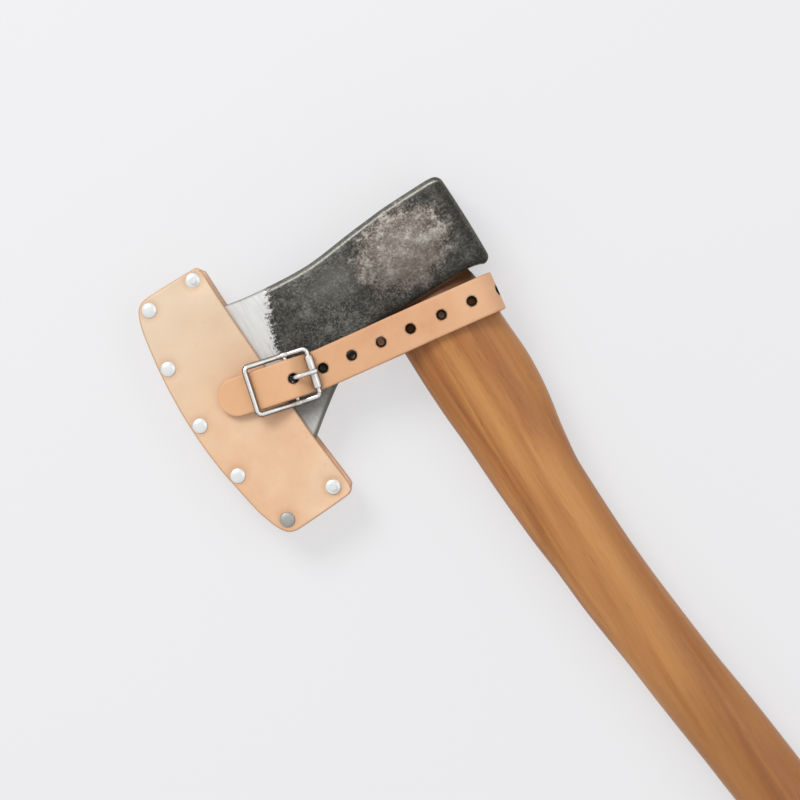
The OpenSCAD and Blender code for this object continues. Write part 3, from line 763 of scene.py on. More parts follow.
# ------------------------------------------------------------------ haft
FORE = [(-381, -9), (-378, -12), (-372, -13.2), (-364, -12), (-354, -8.4), (-344, -5), (-334, -2.8), (-322, -2), (-308, -2.6),
        (-296, -3.9), (-283, -5.4), (-265, -7.3), (-247, -9.5), (-230, -11.4), (-212, -13.2), (-194, -15.4), (-176, -17.4), (-158, -18.7),
        (-140, -20.6), (-122, -21.8), (-104, -22.7), (-86, -23.3), (-68, -24.4), (-50, -24.8), (-36, -24.8), (-26, -24.2), (-22.5, -23.6),
        (-19.4, -22.9), (30, -22.9)]
BACK = [(-381, 29), (-378, 33), (-372, 35.4), (-364, 36.1), (-354, 36), (-344, 35.2), (-334, 34.4), (-322, 33.3), (-308, 31.8),
        (-296, 30.5), (-283, 29.2), (-265, 27.3), (-247, 25.2), (-230, 22.9), (-212, 21), (-194, 19.3), (-176, 17.8), (-158, 16.8),
        (-140, 16.4), (-122, 16.2), (-104, 18.1), (-86, 21.2), (-76, 22.3), (-66, 22.8), (-50, 22.1), (-36, 21.6), (-26, 21), (-22.5, 20.6),
        (-19.4, 19.9), (30, 19.9)]
THICK = [(-381, 9.5), (-378, 12), (-372, 13.6), (-362, 14), (-350, 13.4), (-335, 12.4), (-318, 11.7), (-283, 11.4), (-220, 11.4),
         (-160, 11.2), (-110, 11.4), (-80, 11.9), (-50, 12.3), (-30, 12.3), (-24, 11.8), (-22, 11.1), (-19.4, 9.9), (30, 9.9)]
NEXP = [(-381, 2.0), (-283, 2.15), (-100, 2.15), (-40, 2.25), (-20, 2.1), (30, 2.1)]
LEAN = [(-381, 0.16), (-366, 0.12), (-345, 0.05), (-326, 0.0), (12, 0.0), (22, 0.0535), (30, 0.0535)]


def haft_ring(y, k=72, grow=0.0):
    x0, x1 = smooth_lookup(y, FORE), smooth_lookup(y, BACK)
    c = (x0 + x1) / 2
    a, b = (x1 - x0) / 2 - grow, smooth_lookup(y, THICK) - grow
    lean = lookup(y, LEAN)
    return [(x, y + lean * (x - c), z) for x, z in oval(c, a, b, lookup(y, NEXP), k)]


def make_haft():
    ys = [-381.3, -381.2, -380.9, -380.3, -379.4, -378.2, -376.6, -374.8, -372.5, -370, -367] + [-364 + 4.0 * i for i in range(0, 84)]
    ys = [y for y in ys if y < -27] + [-26.5, -25.4, -24.4, -23.4, -22.6, -21.8, -21.0, -20.2, -19.6, -19.3, -10, 0, 8, 12, 16, 20, 22.2, 22.6, 22.8, 22.88]
    grow = {-381.3: 3.2, -381.2: 1.7, -380.9: 0.7, -380.3: 0.2, 22.6: 0.10, 22.8: 0.32, 22.88: 0.6}
    rings = [haft_ring(y, grow=grow.get(y, 0.0)) for y in ys]
    v, f = loft(rings)
    return build("hickory_haft", v, f, angle=42)


def kerf_cutter(g):
    prof = [(27.9, 1.95 + g), (27.9, -1.95 - g), (0, -0.4 - g), (0, 0.4 + g)]
    r0 = [(-45, y, z) for y, z in prof]
    r1 = [(45, y, z) for y, z in prof]
    v, f = loft([r0, r1])
    return build("kerf_cutter", v, f, smooth=False)


def ring_cutter(ro, ri, y0, y1, k=72):
    cx = -1.5
    rings = []
    for r, y in ((ro, y0), (ro, y1), (ri, y1), (ri, y0)):
        rings.append([(cx + r * math.cos(2 * math.pi * i / k), y, r * math.sin(2 * math.pi * i / k)) for i in range(k)])
    v, f = loft(rings, close_ends=False, loop=True)
    return build("ring_cutter", v, f, smooth=False)


haft = make_haft()
cut(haft, [kerf_cutter(0.02)], angle=42)
cut(haft, [ring_cutter(6.1, 4.5, 12.8, 40)], angle=42)
# painted shadow on the wood close under the head, where the head overhangs it
set_attr(haft, "under_head_shadow", lambda x, y, z: sstep(-38, -27, y))
# a painted highlight runs down the crest of the grip; the wood behind the neck is darker, and painted shade darkens the
# back edge of the upper grip
set_attr(haft, "honey", lambda x, y, z: math.exp(-((x - 5.0) / 7.0) ** 2) * (1 - sstep(-122, -88, y)) * sstep(-258, -214, y))
set_attr(haft, "neck", lambda x, y, z: max(sstep(-112, -78, y) * sstep(-2, 9, x), 0.9 * sstep(7, 13, x) * sstep(-250, -225, y)))
dress(haft, m_wood, "axe", "haft_wood", "haft")

# ------------------------------------------------------------------ sheath
IN0, IN_X, IN_S, LEATHER = 1.9, -113.7, 0.085, 3.0
RIVETS = [(-88.6, 41.9), (-112.5, 40.9), (-119.3, 13.9), (-120.7, -15.5), (-118.1, -43.7), (-109.6, -72.4), (-84.2, -70.7)]


def pinch(x, y):
    """How far the rivets at the mouth draw the panels together."""
    return (2.5 * math.exp(-((x + 86.0) / 13) ** 2 - ((y - 44.0) / 10.0) ** 2)
            + 2.5 * math.exp(-((x + 82.0) / 13) ** 2 - ((y + 74.0) / 9.5) ** 2))


def z_in(x, y):
    return max(0.55, IN0 + IN_S * (x - IN_X) - pinch(x, y))


def dimple(x, y):
    return sum(0.35 * math.exp(-(((x - a) ** 2 + (y - b) ** 2) / 5.0 ** 2) ** 1.5) for a, b in RIVETS)


LEFT = [(-83.3, 44.9), (-84.3, 46.0), (-86, 46.25), (-92, 46.35), (-100, 46.4), (-108, 46.35), (-112.2, 46.05), (-114.6, 45.2), (-116.5, 43.6), (-117.8, 41.4), (-119.2, 38), (-120.5, 33), (-121.8, 26),
        (-123.5, 14), (-124.5, 2), (-124.95, -10), (-124.6, -24), (-123.3, -38), (-121.8, -47), (-119.3, -61), (-117.4, -67.6), (-115.8, -72), (-114.2, -75.1),
        (-112.3, -77.3), (-110, -78.4), (-107, -78.8), (-97, -78.45), (-88, -78.05), (-81, -77.55), (-78.7, -77.0), (-77.6, -75.8)]
RIGHT = [(-83.3, 44.9), (-83.0, 42), (-82.8, 26), (-81.8, 0), (-80.4, -31), (-79.7, -45), (-78.5, -58), (-77.4, -70), (-77.3, -74.0), (-77.6, -75.8)]
left_pts = resample(spline([(x, y, 0) for x, y in LEFT], 6), 161)
right_pts = resample(spline([(x, y, 0) for x, y in RIGHT], 6), 161)


def make_panel(name, sign, grow):
    """A leather panel with rolled edges: a grid between its curved outer edge and its open edge."""
    n, m = len(left_pts), 33
    R = 1.0
    grid = []
    # across: rows close together at both edges, so the roll has points
    ds = [0.0, 0.12, 0.35, 0.7, 1.1]
    for i in range(n):
        a, b = left_pts[i].copy(), right_pts[i].copy()
        b.x += grow * sstep(0.0, 0.02, i / (n - 1)) * sstep(1.0, 0.98, i / (n - 1))
        span = max((b - a).length, 1e-3)
        row = []
        for j in range(m):
            if j < len(ds):
                d = min(ds[j], span * 0.08 * (j + 1))
            elif j >= m - len(ds):
                d = span - min(ds[m - 1 - j], span * 0.08 * (m - j))
            else:
                d = ds[-1] + (span - 2 * ds[-1]) * (j - len(ds) + 1) / (m - 2 * len(ds) + 1) if span > 4 else span * j / (m - 1)
            row.append(a.lerp(b, min(1.0, max(0.0, d / span))))
        grid.append(row)
    outline = [(p.x, p.y) for p in left_pts] + [(p.x + grow * sstep(0.0, 0.02, i / (n - 1)) * sstep(1.0, 0.98, i / (n - 1)), p.y) for i, p in reversed(list(enumerate(right_pts)))]

    def rim_distance(p):
        return seg_dist(p.x, p.y, outline)

    verts, faces = [], []
    drops = [[None] * m for _ in range(n)]
    for i in range(n):
        for j in range(m):
            d = 0.0 if j in (0, m - 1) or i in (0, n - 1) else (rim_distance(grid[i][j]) if (i < 14 or i > n - 15 or j < 7 or j > m - 8) else 9.0)
            drops[i][j] = 0.0 if d >= R else R - math.sqrt(max(0.0, R * R - (R - d) ** 2))
    idx = {}

    def add(i, j, side):
        p = grid[i][j]
        zi = z_in(p.x, p.y)
        soft = 0.10 * noise.noise(Vector((p.x * 0.05, p.y * 0.05, 1.7 + sign)))
        if side == 1:
            z = zi + LEATHER - 0.04 - drops[i][j] - dimple(p.x, p.y) + soft - 0.10
        else:
            z = zi + 0.02 + 0.25 * drops[i][j]
        idx[(i, j, side)] = len(verts)
        verts.append((p.x, p.y, sign * z))

    for side in (0, 1):
        for i in range(n):
            for j in range(m):
                add(i, j, side)
    for i in range(n - 1):
        for j in range(m - 1):
            for side in (0, 1):
                faces.append((idx[(i, j, side)], idx[(i + 1, j, side)], idx[(i + 1, j + 1, side)], idx[(i, j + 1, side)]))
    for i in range(n - 1):
        for j in (0, m - 1):
            faces.append((idx[(i, j, 0)], idx[(i + 1, j, 0)], idx[(i + 1, j, 1)], idx[(i, j, 1)]))
    for j in range(m - 1):
        for i in (0, n - 1):
            faces.append((idx[(i, j, 0)], idx[(i, j + 1, 0)], idx[(i, j + 1, 1)], idx[(i, j, 1)]))
    ob = build(name, verts, faces, angle=60)
    set_attr(ob, "edge", lambda x, y, z: sstep(0.75, 0.15, seg_dist(x, y, outline)))
    set_attr(ob, "hole", lambda x, y, z: 0.0)
    set_attr(ob, "halo", lambda x, y, z: max(math.exp(-((math.hypot(x - a, y - b) - 4.0) / 1.3) ** 2) for a, b in RIVETS))
    return ob


front_panel = make_panel("sheath_front", 1, 0.0)
back_panel = make_panel("sheath_back", -1, 1.4)
dress(front_panel, m_leather, "sheath", "sheath_leather", "sheath_front_panel")
dress(back_panel, m_leather, "sheath", "sheath_leather", "sheath_back_panel")

# the welt between them
POCKET = [(-83.5, 36.5), (-92, 36.5), (-104, 36.4), (-108.6, 35.0), (-111.4, 29), (-113.2, 18), (-114.6, 4), (-115.5, -8), (-115.8, -18), (-115.3, -30),
          (-113.9, -42), (-111.4, -54), (-108.9, -63.5), (-107.2, -67.2), (-105.0, -68.4), (-95, -68.4), (-79.0, -68.4)]


def make_welt():
    n = 181
    outer_src = [p for p in left_pts]
    outer = resample([(p.x, p.y, 0) for p in outer_src], n)
    inner = resample(spline([(x, y, 0) for x, y in POCKET], 5), n)
    rings = []
    for i in range(n):
        a, b = outer[i].copy(), inner[i].copy()
        if i == 0:
            a = Vector((-83.6, 44.8, 0))
        a = a.lerp(b, 0.045)
        ring = []
        ts = [0, 0.06, 0.5, 0.94, 1]
        for t in ts:
            p = a.lerp(b, t)
            ring.append((p.x, p.y, z_in(p.x, p.y) + 0.02 - (0.12 if t in (0, 1) else 0)))
        for t in reversed(ts):
            p = a.lerp(b, t)
            ring.append((p.x, p.y, -(z_in(p.x, p.y) + 0.02 - (0.12 if t in (0, 1) else 0))))
        rings.append(ring)
    v, f = loft(rings)
    ob = build("sheath_welt_strip", v, f, angle=40)
    set_attr(ob, "edge", lambda x, y, z: 0.5)
    set_attr(ob, "hole", lambda x, y, z: 0.0)
    return ob


welt = make_welt()
dress(welt, m_welt, "sheath", "welt_leather", "sheath_welt")


def revolve(profile, place, k=56):
    """A lathe of (radius, height) pairs; place turns (x, y, z) into a design point."""
    rings = []
    for r, h in profile:
        rings.append([place(r * math.cos(2 * math.pi * i / k), r * math.sin(2 * math.pi * i / k), h) for i in range(k)])
    return loft(rings)


def join_parts(name, parts, angle=35):
    verts, faces = [], []
    for v, f in parts:
        o = len(verts)
        verts += v
        faces += [tuple(i + o for i in x) for x in f]
    return build(name, verts, faces, angle=angle)


def tilt_place(x0, y0, z0, sign, slope):
    """Stands a lathe on a panel face: local z along the face's normal, on either side of the sheath."""
    c, s = math.cos(slope), math.sin(slope)

    def f(x, y, h):
        return (x0 + x * c - h * s, y0 + y, sign * (z0 + x * s + h * c))
    return f


SLOPE = math.atan(IN_S)
CAP = [(0.02, -0.7), (3.1, -0.7), (3.42, -0.35), (3.5, 0.0), (3.46, 0.22), (3.3, 0.45), (3.0, 0.66), (2.5, 0.86), (1.9, 1.0), (1.2, 1.09), (0.6, 1.12), (0.02, 1.13)]


def local_slope(x, y):
    return math.atan((z_in(x + 2, y) - z_in(x - 2, y)) / 4)


bright_caps = [p for i, p in enumerate(RIVETS) if i != 5]
caps = join_parts("rivet_caps_bright", [revolve(CAP, tilt_place(x, y, z_in(x, y) + LEATHER - 0.32, s, local_slope(x, y))) for x, y in bright_caps for s in (1, -1)])
darkened = join_parts("rivet_caps_dull", [revolve(CAP, tilt_place(x, y, z_in(x, y) + LEATHER - 0.32, s, local_slope(x, y))) for x, y in [RIVETS[5]] for s in (1, -1)])
for _o in (caps, darkened):
    # painted shade on the steep rims of the rivet caps
    set_flank(_o, 0.0, 0.55)
dress(caps, m_rivet, "sheath", "rivet_nickel", "sheath_rivet_caps")
dress(darkened, m_rivet_dull, "sheath", "rivet_nickel", "sheath_rivet_caps")

# ------------------------------------------------------------------ strap
TURN = math.radians(-8)
CT, ST = math.cos(TURN), math.sin(TURN)


def strap_xy(xp, yp):
    return (xp * CT - yp * ST, -31.17 + xp * ST + yp * CT)


def sweep_strap(name, path, half_w, t=2.7, tip=None, angle=40):
    """A flat strap with rolled edges. path is a list of (x, y, z) on the middle of its thickness, with the side and up vectors."""
    rings = []
    for (p, side, up, hw) in path:
        ring = []
        r = 0.75
        across = 18
        pts = []
        # top, left to right
        for i in range(across + 1):
            pts.append((-hw + r + (2 * hw - 2 * r) * i / across, t / 2))
        for a in (30, 60, 90):
            A = math.radians(a)
            pts.append((hw - r + r * math.sin(A), t / 2 - r + r * math.cos(A)))
        for a in (60, 30, 0):
            A = math.radians(a)
            pts.append((hw - r + r * math.sin(A), -(t / 2 - r) - r * math.cos(A)))
        for i in range(1, across + 1):
            pts.append((hw - r - (2 * hw - 2 * r) * i / across, -t / 2))
        for a in (30, 60, 90):
            A = math.radians(a)
            pts.append((-hw + r - r * math.sin(A), -(t / 2 - r) - r * math.cos(A)))
        for a in (60, 30):
            A = math.radians(a)
            pts.append((-hw + r - r * math.sin(A), t / 2 - r + r * math.cos(A)))
        for a, b in pts:
            q = p + side * a + up * b
            ring.append((q.x, q.y, q.z))
        rings.append(ring)
    v, f = loft(rings)
    return build(name, v, f, angle=angle)


def strap_attrs(ob, holes, w_of=None, mid=None):
    # mask of the painted shade in the punched holes
    set_attr(ob, "hole", lambda x, y, z: max([sstep(0.62, 0.0, math.hypot(x - a, y - b) - 2.25) for a, b in holes], default=0.0))


def frames_from(points, hw):
    """points: (x, y, z) of the middle of the thickness. Side is horizontal."""
    out = []
    n = len(points)
    for i, p in enumerate(points):
        a, b = points[max(0, i - 1)], points[min(n - 1, i + 1)]
        t = (b - a).normalized()
        side = Vector((0, 0, 1)).cross(t).normalized()
        up = t.cross(side).normalized()
        if up.z < 0:
            side, up = -side, -up
        out.append((p, side, up, hw(i) if callable(hw) else hw))
    return out


T = 2.7
# front run, from the bend to the tip: x, y, z of the underside; the half width comes from front_width
FRONT = [(17.03, -33.56, 13.1), (6, -32.0, 13.1), (-1.7, -30.9, 13.1), (-11, -29.6, 13.1), (-20, -28.4, 13.1), (-26, -27.55, 13.0), (-31, -26.9, 12.3), (-38, -26, 10.9), (-45.6, -24.9, 9.3),
         (-54, -23.7, 7.5), (-59.6, -22.9, 6.5), (-64.2, -22, 6.1), (-66, -21.55, 6.5), (-68, -21.05, 7.7), (-70, -20.55, 9.5), (-72, -20.05, 11.4),
         (-73.6, -19.65, 12.35), (-75.5, -19.2, 12.5), (-78, -18.6, 11.95), (-81, -17.9, 11.4), (-86, -16.75, 11.15), (-89, -16.05, 10.6), (-91.2, -15.5, 9.1), (-92.5, -15.15, 8.6),
         (-94.5, -14.6, 7.9), (-98, -13.7, 7.2), (-101, -12.85, 6.8), (-103.2, -12.25, 6.5), (-105.0, -11.75, 6.3), (-106.4, -11.35, 6.2), (-107.4, -11.05, 6.15)]
HOLES = [(13.1, -32.9), (-1.7, -30.9), (-16.8, -28.8), (-31.2, -26.9), (-45.6, -24.9), (-59.6, -22.9), (-73.3, -19.9)]
front_pts = resample(spline([(x, y, z + T / 2) for x, y, z in FRONT], 8), 200)
tip = front_pts[-1]


def front_width(i):
    p = front_pts[i]
    d = (Vector((p.x, p.y, 0)) - Vector((tip.x, tip.y, 0))).length
    R = 8.6
    if d >= R:
        return 9.0
    return max(1.0, 0.4 + 8.6 * math.sqrt(max(0.0, 1 - ((R - d) / R) ** 2)))


# the half-round end needs stations close together
_ends = [p for p in front_pts if (Vector((p.x, p.y, 0)) - Vector((tip.x, tip.y, 0))).length > 9]
_last = _ends[-1]
_tail_dir = tip - _last
front_pts = _ends + [_last + _tail_dir * (math.sin(math.pi / 2 * k / 16)) for k in range(1, 17)]
strap_front = sweep_strap("strap_front_part", frames_from(front_pts, front_width), 9.0)


def hole_cutter(x, y, z, r, foot, k=36):
    """A punched hole; foot is its radius at the flesh side, where the fibres close in a little."""
    rings = [[(x + q * math.cos(2 * math.pi * i / k), y + q * math.sin(2 * math.pi * i / k), z + d) for i in range(k)]
             for d, q in ((-2.5, foot), (0.3, foot), (2.2, r), (9.0, r))]
    v, f = loft(rings)
    return build("hole_cutter", v, f, smooth=False)


def front_z(x):
    return lookup(x, sorted((a, c) for a, b, c in FRONT))


cut(strap_front, [hole_cutter(x, y, front_z(x), 2.3, 1.75 if i == len(HOLES) - 1 else 1.5) for i, (x, y) in enumerate(HOLES)], angle=40)
front_axis = [(p.x, p.y) for p in front_pts]


def strap_edge(x, y, z):
    d = seg_dist(x, y, front_axis)
    return sstep(8.35, 8.95, d)


set_attr(strap_front, "edge", strap_edge)
strap_attrs(strap_front, HOLES)

# back run, straight under the haft and up to the back panel: x along the strap, z of the inner face
RUN = [(-105.6, -5.0 - 0.62), (-100, -6.15), (-90, -7.0), (-82, -7.72), (-76, -8.0), (-70, -8.15), (-58, -8.55), (-45.6, -9.82), (-38, -11.12), (-31, -12.42), (-26, -13.1), (-20, -13.12), (-10, -13.12), (17.2, -13.12)]
run_pts = resample(spline([(x, 0, z - T / 2) for x, z in RUN], 8), 120)
run_design = []
for p in run_pts:
    X, Y = strap_xy(p.x, 0)
    run_design.append(Vector((X, Y, p.z)))


def run_width(i):
    d = (run_design[i] - run_design[0]).length
    return 9.0 if d > 3 else 9.0 - 3 + math.sqrt(max(0, 9 - (3 - d) ** 2))


strap_back = sweep_strap("strap_back_part", frames_from(run_design, run_width), 9.0)
run_axis = [(p.x, p.y) for p in run_design]
set_attr(strap_back, "edge", lambda x, y, z: sstep(8.35, 8.95, seg_dist(x, y, run_axis)))
set_attr(strap_back, "hole", lambda x, y, z: 0.0)

# the bend round the haft, in two pieces that meet at its middle
CX, CZ, RN = 17.2, 6.6, 6.5 + T / 2


def bend_point(u):
    """u from 0 (end of the back run) to 1 (start of the front run), by length; returns (x', z, tangent angle)."""
    arc = RN * math.pi / 2
    total = 2 * arc + 2 * CZ
    d = u * total
    if d < arc:
        t = -math.pi / 2 + d / RN
        return CX + RN * math.cos(t), -CZ + RN * math.sin(t), t
    if d < arc + 2 * CZ:
        return CX + RN, -CZ + (d - arc), 0.0
    t = (d - arc - 2 * CZ) / RN
    return CX + RN * math.cos(t), CZ + RN * math.sin(t), t


def bend_piece(name, u0, u1, n):
    path = []
    for i in range(n):
        u = u0 + (u1 - u0) * i / (n - 1)
        xp, z, t = bend_point(u)
        X, Y = strap_xy(xp, 0)
        side = Vector((-ST, CT, 0))
        up = Vector((math.cos(t) * CT, math.cos(t) * ST, math.sin(t)))
        path.append((Vector((X, Y, z)), side, up, 9.0))
    ob = sweep_strap(name, path, 9.0)
    set_attr(ob, "edge", lambda x, y, z: sstep(8.35, 8.95, abs(-(x) * ST + (y + 31.17) * CT)))
    set_attr(ob, "hole", lambda x, y, z: 0.0)
    return ob


lower_bend = bend_piece("strap_lower_bend_part", 0.0, 0.5, 34)
upper_bend = bend_piece("strap_upper_bend_part", 0.5, 1.0, 34)


PUNCH = math.radians(13)


def punch_distance(x, y, z):
    """Distance in mm from the axis of the hole punched where the strap turns round the haft."""
    xp, yp, zz = x * CT + (y + 31.17) * ST - CX, -x * ST + (y + 31.17) * CT, z - CZ
    return math.hypot(yp, zz * math.cos(PUNCH) - xp * math.sin(PUNCH))


def bend_hole_cutter():
    k = 36
    rings = []
    for d in (3.0, 14.0):
        ring = []
        for i in range(k):
            a = 2 * math.pi * i / k
            yp, w = 2.3 * math.cos(a), 2.3 * math.sin(a)
            X, Y = strap_xy(CX + d * math.cos(PUNCH) - w * math.sin(PUNCH), yp)
            ring.append((X, Y, CZ + d * math.sin(PUNCH) + w * math.cos(PUNCH)))
        rings.append(ring)
    v, f = loft(rings)
    return build("bend_hole_cutter", v, f, smooth=False)


cut(upper_bend, [bend_hole_cutter()], angle=40)
set_attr(upper_bend, "edge", lambda x, y, z: sstep(8.35, 8.95, abs(-(x) * ST + (y + 31.17) * CT)))
set_attr(upper_bend, "hole", lambda x, y, z: sstep(0.7, 0.0, punch_distance(x, y, z) - 2.25) if z > CZ - 3 else 0.0)

for ob, body, slot_name, nodes in ((strap_front, "strap_end", "strap_leather", ("strap_front_run",)),
                                   (strap_back, "sheath", "strap_leather", ("strap_back_run",))):
    dress(ob, m_strap, body, slot_name, *nodes)
for ob, a, b, zs in ((lower_bend, "sheath", "strap_bend", -1), (upper_bend, "strap_bend", "strap_end", 1)):
    ob.data.materials.append(m_strap)
    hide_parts("strap_wrap")
    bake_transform(ob)

# strap rivets on the back
STRAP_RV = [(-88.5, -18.9), (-98.5, -17.5)]
strap_caps = join_parts("strap_rivet_caps", [revolve(CAP, tilt_place(x - 0.55, y, IN0 + IN_S * (x - IN_X) + LEATHER + T - 0.05, -1, SLOPE)) for x, y in STRAP_RV])
dress(strap_caps, m_rivet, "sheath", "rivet_nickel", "strap_rivets")

# ------------------------------------------------------------------ buckle
BT = math.radians(-14)
BC, BS = math.cos(BT), math.sin(BT)


def bk(u, v, z):
    return Vector((-77.8 + u * BC - v * BS, -18.6 + u * BS + v * BC, z))


def tube(points, radius, k=24, loop=False, flat=1.0):
    rings = []
    n = len(points)
    for i, p in enumerate(points):
        a = points[(i - 1) % n] if loop or i else points[0]
        b = points[(i + 1) % n] if loop or i < n - 1 else points[-1]
        t = (b - a).normalized()
        side = Vector((0, 0, 1)).cross(t)
        side = side.normalized() if side.length > 1e-4 else Vector((BC, BS, 0))
        up = t.cross(side).normalized()
        r = radius(i / (n - 1)) if callable(radius) else radius
        rings.append([tuple(p + side * (r * math.cos(2 * math.pi * j / k)) + up * (r * flat * math.sin(2 * math.pi * j / k))) for j in range(k)])
    return loft(rings, close_ends=not loop, loop=loop)


BAR_U, BAR_Z, LU, LZ, RU, RZ, SV = 3.6, 9.5, -15.3, 13.5, 14.0, 10.9, 11.2
half = ([(RU, 0.0, RZ), (RU, 4.0, RZ)]
        + [(RU - 2.1 + 2.1 * math.cos(math.radians(15 * i)), 9.1 + 2.1 * math.sin(math.radians(15 * i)), RZ - 0.085 * i) for i in range(7)]
        + [(BAR_U + 4.4, SV, BAR_Z + 0.3), (BAR_U + 2.6, SV, BAR_Z), (BAR_U, SV, BAR_Z), (BAR_U - 2.6, SV, BAR_Z), (BAR_U - 5, SV, BAR_Z + 0.3), (BAR_U - 8, SV, BAR_Z + 1.3), (BAR_U - 11, SV, BAR_Z + 2.4)]
        + [(LU + 2.1 - 2.1 * math.cos(math.radians(15 * i)), 9.1 + 2.1 * math.sin(math.radians(15 * i)), LZ - 0.07 * i) for i in range(6, -1, -1)]
        + [(LU, 4.0, LZ)])
ring_path = half + [(LU, 0.0, LZ)] + [(u, -v, z) for u, v, z in reversed(half[1:])]
wire_pts = [bk(*p) for p in spline(ring_path, 5, closed=True)]


def wire_radius(i):
    return 1.3


n_w = len(wire_pts)
rings = []
for i, p in enumerate(wire_pts):
    a, b = wire_pts[i - 1], wire_pts[(i + 1) % n_w]
    t = (b - a).normalized()
    side = Vector((0, 0, 1)).cross(t).normalized()
    up = t.cross(side).normalized()
    # the wire is thinner inside the roller
    inv = Vector((p.x + 77.8, p.y + 18.6, 0))
    u = inv.x * BC + inv.y * BS
    v = -inv.x * BS + inv.y * BC
    r = 1.18 if (u > 12.8 and abs(v) < 7.8) else 1.28
    rings.append([tuple(p + side * (r * math.cos(2 * math.pi * j / 24)) + up * (r * math.sin(2 * math.pi * j / 24))) for j in range(24)])
v_, f_ = loft(rings, loop=True, close_ends=False)
buckle = build("buckle_wire", v_, f_, angle=60)
set_flank(buckle)
dress(buckle, m_nickel, "buckle", "buckle_nickel", "buckle_frame")

ROLL = [(1.27, -7.45), (1.7, -7.6), (1.88, -7.5), (1.97, -7.25), (1.98, -4.0), (1.98, 0), (1.98, 4.0), (1.97, 7.25), (1.88, 7.5), (1.7, 7.6), (1.27, 7.45)]


def roll_place(x, y, h):
    q = bk(RU + x, h, RZ + y)
    return tuple(q)


rv = []
k = 48
for r, h in ROLL + [(1.27, 0.0)]:
    rv.append([roll_place(r * math.cos(2 * math.pi * i / k), r * math.sin(2 * math.pi * i / k), h) for i in range(k)])
v_, f_ = loft(rv, close_ends=False, loop=True)
roller = build("roller_sleeve", v_, f_, angle=40)
# the seam of the rolled sleeve
seam_rings = []
for h in (-8.5, 8.5):
    seam_rings.append([tuple(bk(RU + du, h, RZ + dz)) for du, dz in ((1.78, -0.10), (2.4, -0.10), (2.4, 0.10), (1.78, 0.10))])
v_, f_ = loft(seam_rings)
cut(roller, [build("seam_cutter", v_, f_, smooth=False)], angle=40)
set_flank(roller, 0.42, 0.86)
dress(roller, m_nickel, "roller", "buckle_nickel", "buckle_roller")

TONGUE = [(BAR_U + 0.2, 11.55), (BAR_U + 1.1, 12.4), (BAR_U + 1.45, 13.9), (BAR_U + 2.4, 15.4), (BAR_U + 4, 16.05), (BAR_U + 6.4, 15.75), (RU - 1.6, 14.75), (RU, 14.15), (RU + 1.3, 13.75), (RU + 2.1, 13.4)]
tp = [bk(u, 0, z) for u, z in [(p.x, p.y) for p in spline([(u, z, 0) for u, z in TONGUE], 6)]]
v1, f1 = tube(tp, lambda s: 1.1 if s < 0.86 else 1.1 * math.sqrt(max(0.04, 1 - ((s - 0.86) / 0.145) ** 2)), k=24)
curl = []
for r, h in ((1.27, -1.2), (2.35, -1.2), (2.48, -1.05), (2.48, 1.05), (2.35, 1.2), (1.27, 1.2)):
    curl.append([tuple(bk(BAR_U + r * math.cos(2 * math.pi * i / 40), h, BAR_Z + r * math.sin(2 * math.pi * i / 40))) for i in range(40)])
v2, f2 = loft(curl, close_ends=False, loop=True)
tongue = join_parts("tongue_wire", [(v1, f1), (v2, f2)], angle=45)
set_flank(tongue, 0.35, 0.88)
dress(tongue, m_nickel, "tongue", "buckle_nickel", "buckle_tongue")

# ------------------------------------------------------------------ CAD nodes that stay, with better materials
# the centre bar, with its two ends crimped round the side wires
def bar_section(v, r, k=28):
    return [tuple(bk(BAR_U + r * math.cos(2 * math.pi * i / k), v, BAR_Z + r * math.sin(2 * math.pi * i / k))) for i in range(k)]


bar_v = [(-10.2, 0.9), (-10.0, 1.12), (-9.6, 1.18), (-4, 1.18), (0, 1.18), (4, 1.18), (9.6, 1.18), (10.0, 1.12), (10.2, 0.9)]
pieces = [loft([bar_section(v, r) for v, r in bar_v])]
for side_v in (-SV, SV):
    crimp = []
    for u, r in ((-1.55, 1.3), (-1.55, 1.46), (-1.35, 1.56), (0.0, 1.6), (1.35, 1.56), (1.55, 1.46), (1.55, 1.3)):
        crimp.append([tuple(bk(BAR_U + u, side_v + r * math.cos(2 * math.pi * i / 28), BAR_Z + r * math.sin(2 * math.pi * i / 28))) for i in range(28)])
    pieces.append(loft(crimp, close_ends=False, loop=True))
centre_bar = join_parts("centre_bar_wire", pieces, angle=45)
set_flank(centre_bar)
dress(centre_bar, m_nickel, "buckle", "buckle_nickel", "buckle_centre_bar")

KEEP = {"eye_wedge": m_wedge, "ring_wedge": m_ring, "buckle_tab": m_strap, "tab_rivet": m_rivet, "sheath_rivet_posts": m_rivet}
for name, mat in KEEP.items():
    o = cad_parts[name]
    if o.material_slots:
        for s_ in o.material_slots:
            s_.material = mat
    else:
        o.data.materials.append(mat)

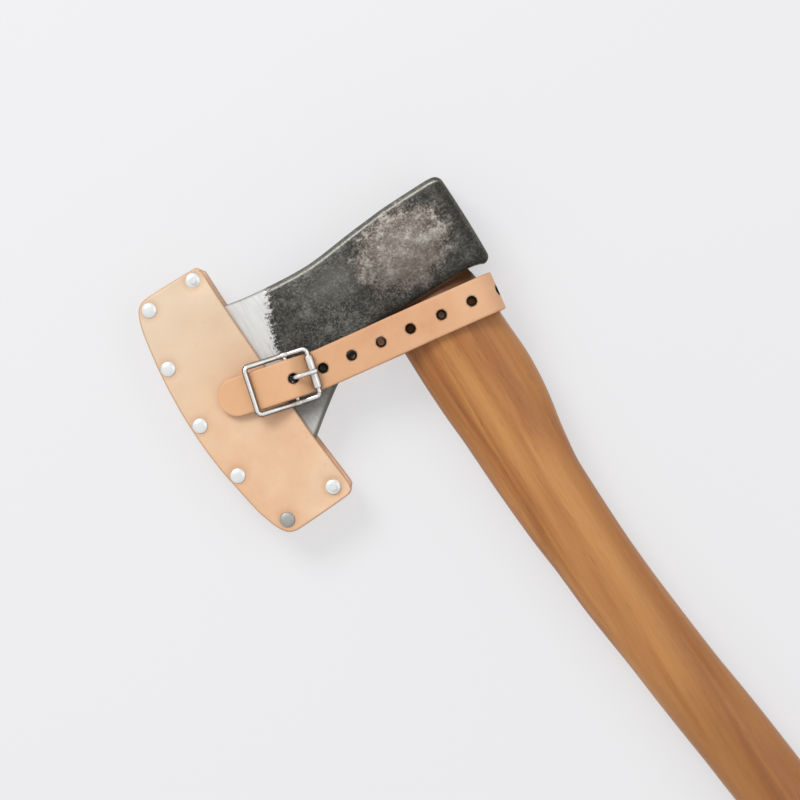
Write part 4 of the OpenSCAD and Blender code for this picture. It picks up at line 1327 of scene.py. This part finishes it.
# ------------------------------------------------------------------ stage, light, camera
def plane(name, size, z, mat):
    me = bpy.data.meshes.new(name)
    n = 8
    vs = [(-size + 2 * size * i / n, -size + 2 * size * j / n, z) for j in range(n + 1) for i in range(n + 1)]
    fs = [(j * (n + 1) + i, j * (n + 1) + i + 1, (j + 1) * (n + 1) + i + 1, (j + 1) * (n + 1) + i) for j in range(n) for i in range(n)]
    me.from_pydata(vs, [], fs)
    o = bpy.data.objects.new(name, me)
    scene.collection.objects.link(o)
    o.data.materials.append(mat)
    return o


F = Mat("pale_floor")
fc = F.mix(F.mapr(F.noise(F.mapped(), 3.0, 3, 0.5), 0.3, 0.7), srgb(236, 236, 238), srgb(238, 238, 240))
F.out(F.mix(1.0, fc, (0.36, 0.36, 0.36), "MULTIPLY"), 0.85, 0.0)
F.b.inputs["Emission Color"].default_value = (*srgb(237, 237, 239), 1)
F.b.inputs["Emission Strength"].default_value = 0.635
F.b.inputs["Specular IOR Level"].default_value = 0.15
floor = plane("floor", 3.0, -0.0002, F.m)

world = bpy.data.worlds.new("soft_white")
world.use_nodes = True
world.node_tree.nodes["Background"].inputs[0].default_value = (1.0, 1.0, 1.0, 1)
world.node_tree.nodes["Background"].inputs[1].default_value = 0.62
scene.world = world
scene.view_settings.view_transform = "Standard"
scene.view_settings.look = "None"


def area(name, loc, target, size, power, color=(1, 1, 1)):
    l = bpy.data.lights.new(name, "AREA")
    l.shape = "DISK"
    l.size = size
    l.energy = power
    l.color = color
    o = bpy.data.objects.new(name, l)
    o.location = loc
    d = (Vector(target) - Vector(loc)).normalized()
    o.rotation_euler = d.to_track_quat("-Z", "Y").to_euler()
    scene.collection.objects.link(o)
    return o


C = P(-37.8, -53.5, -16)
# image left and up, in the row's X and Y
RIGHTV, UPV = Vector((0.848, -0.530, 0)), Vector((0.530, 0.848, 0))
area("key", C + RIGHTV * -0.75 + UPV * 0.85 + Vector((0, 0, 1.15)), C, 0.75, 12.5)
area("fill", C + RIGHTV * 0.9 + UPV * 0.2 + Vector((0, 0, 1.5)), C, 1.2, 3.0)

cam = bpy.data.cameras.new("cam")
cam.sensor_width = 36
D = 1.9
cam.lens = 36 * D / 0.3625
cam.clip_start = 0.05
co = bpy.data.objects.new("cam", cam)
co.location = P(-37.8, -53.5, 0) + Vector((0, 0, D))
co.rotation_euler = (0, 0, math.radians(-32))
scene.collection.objects.link(co)
scene.camera = co
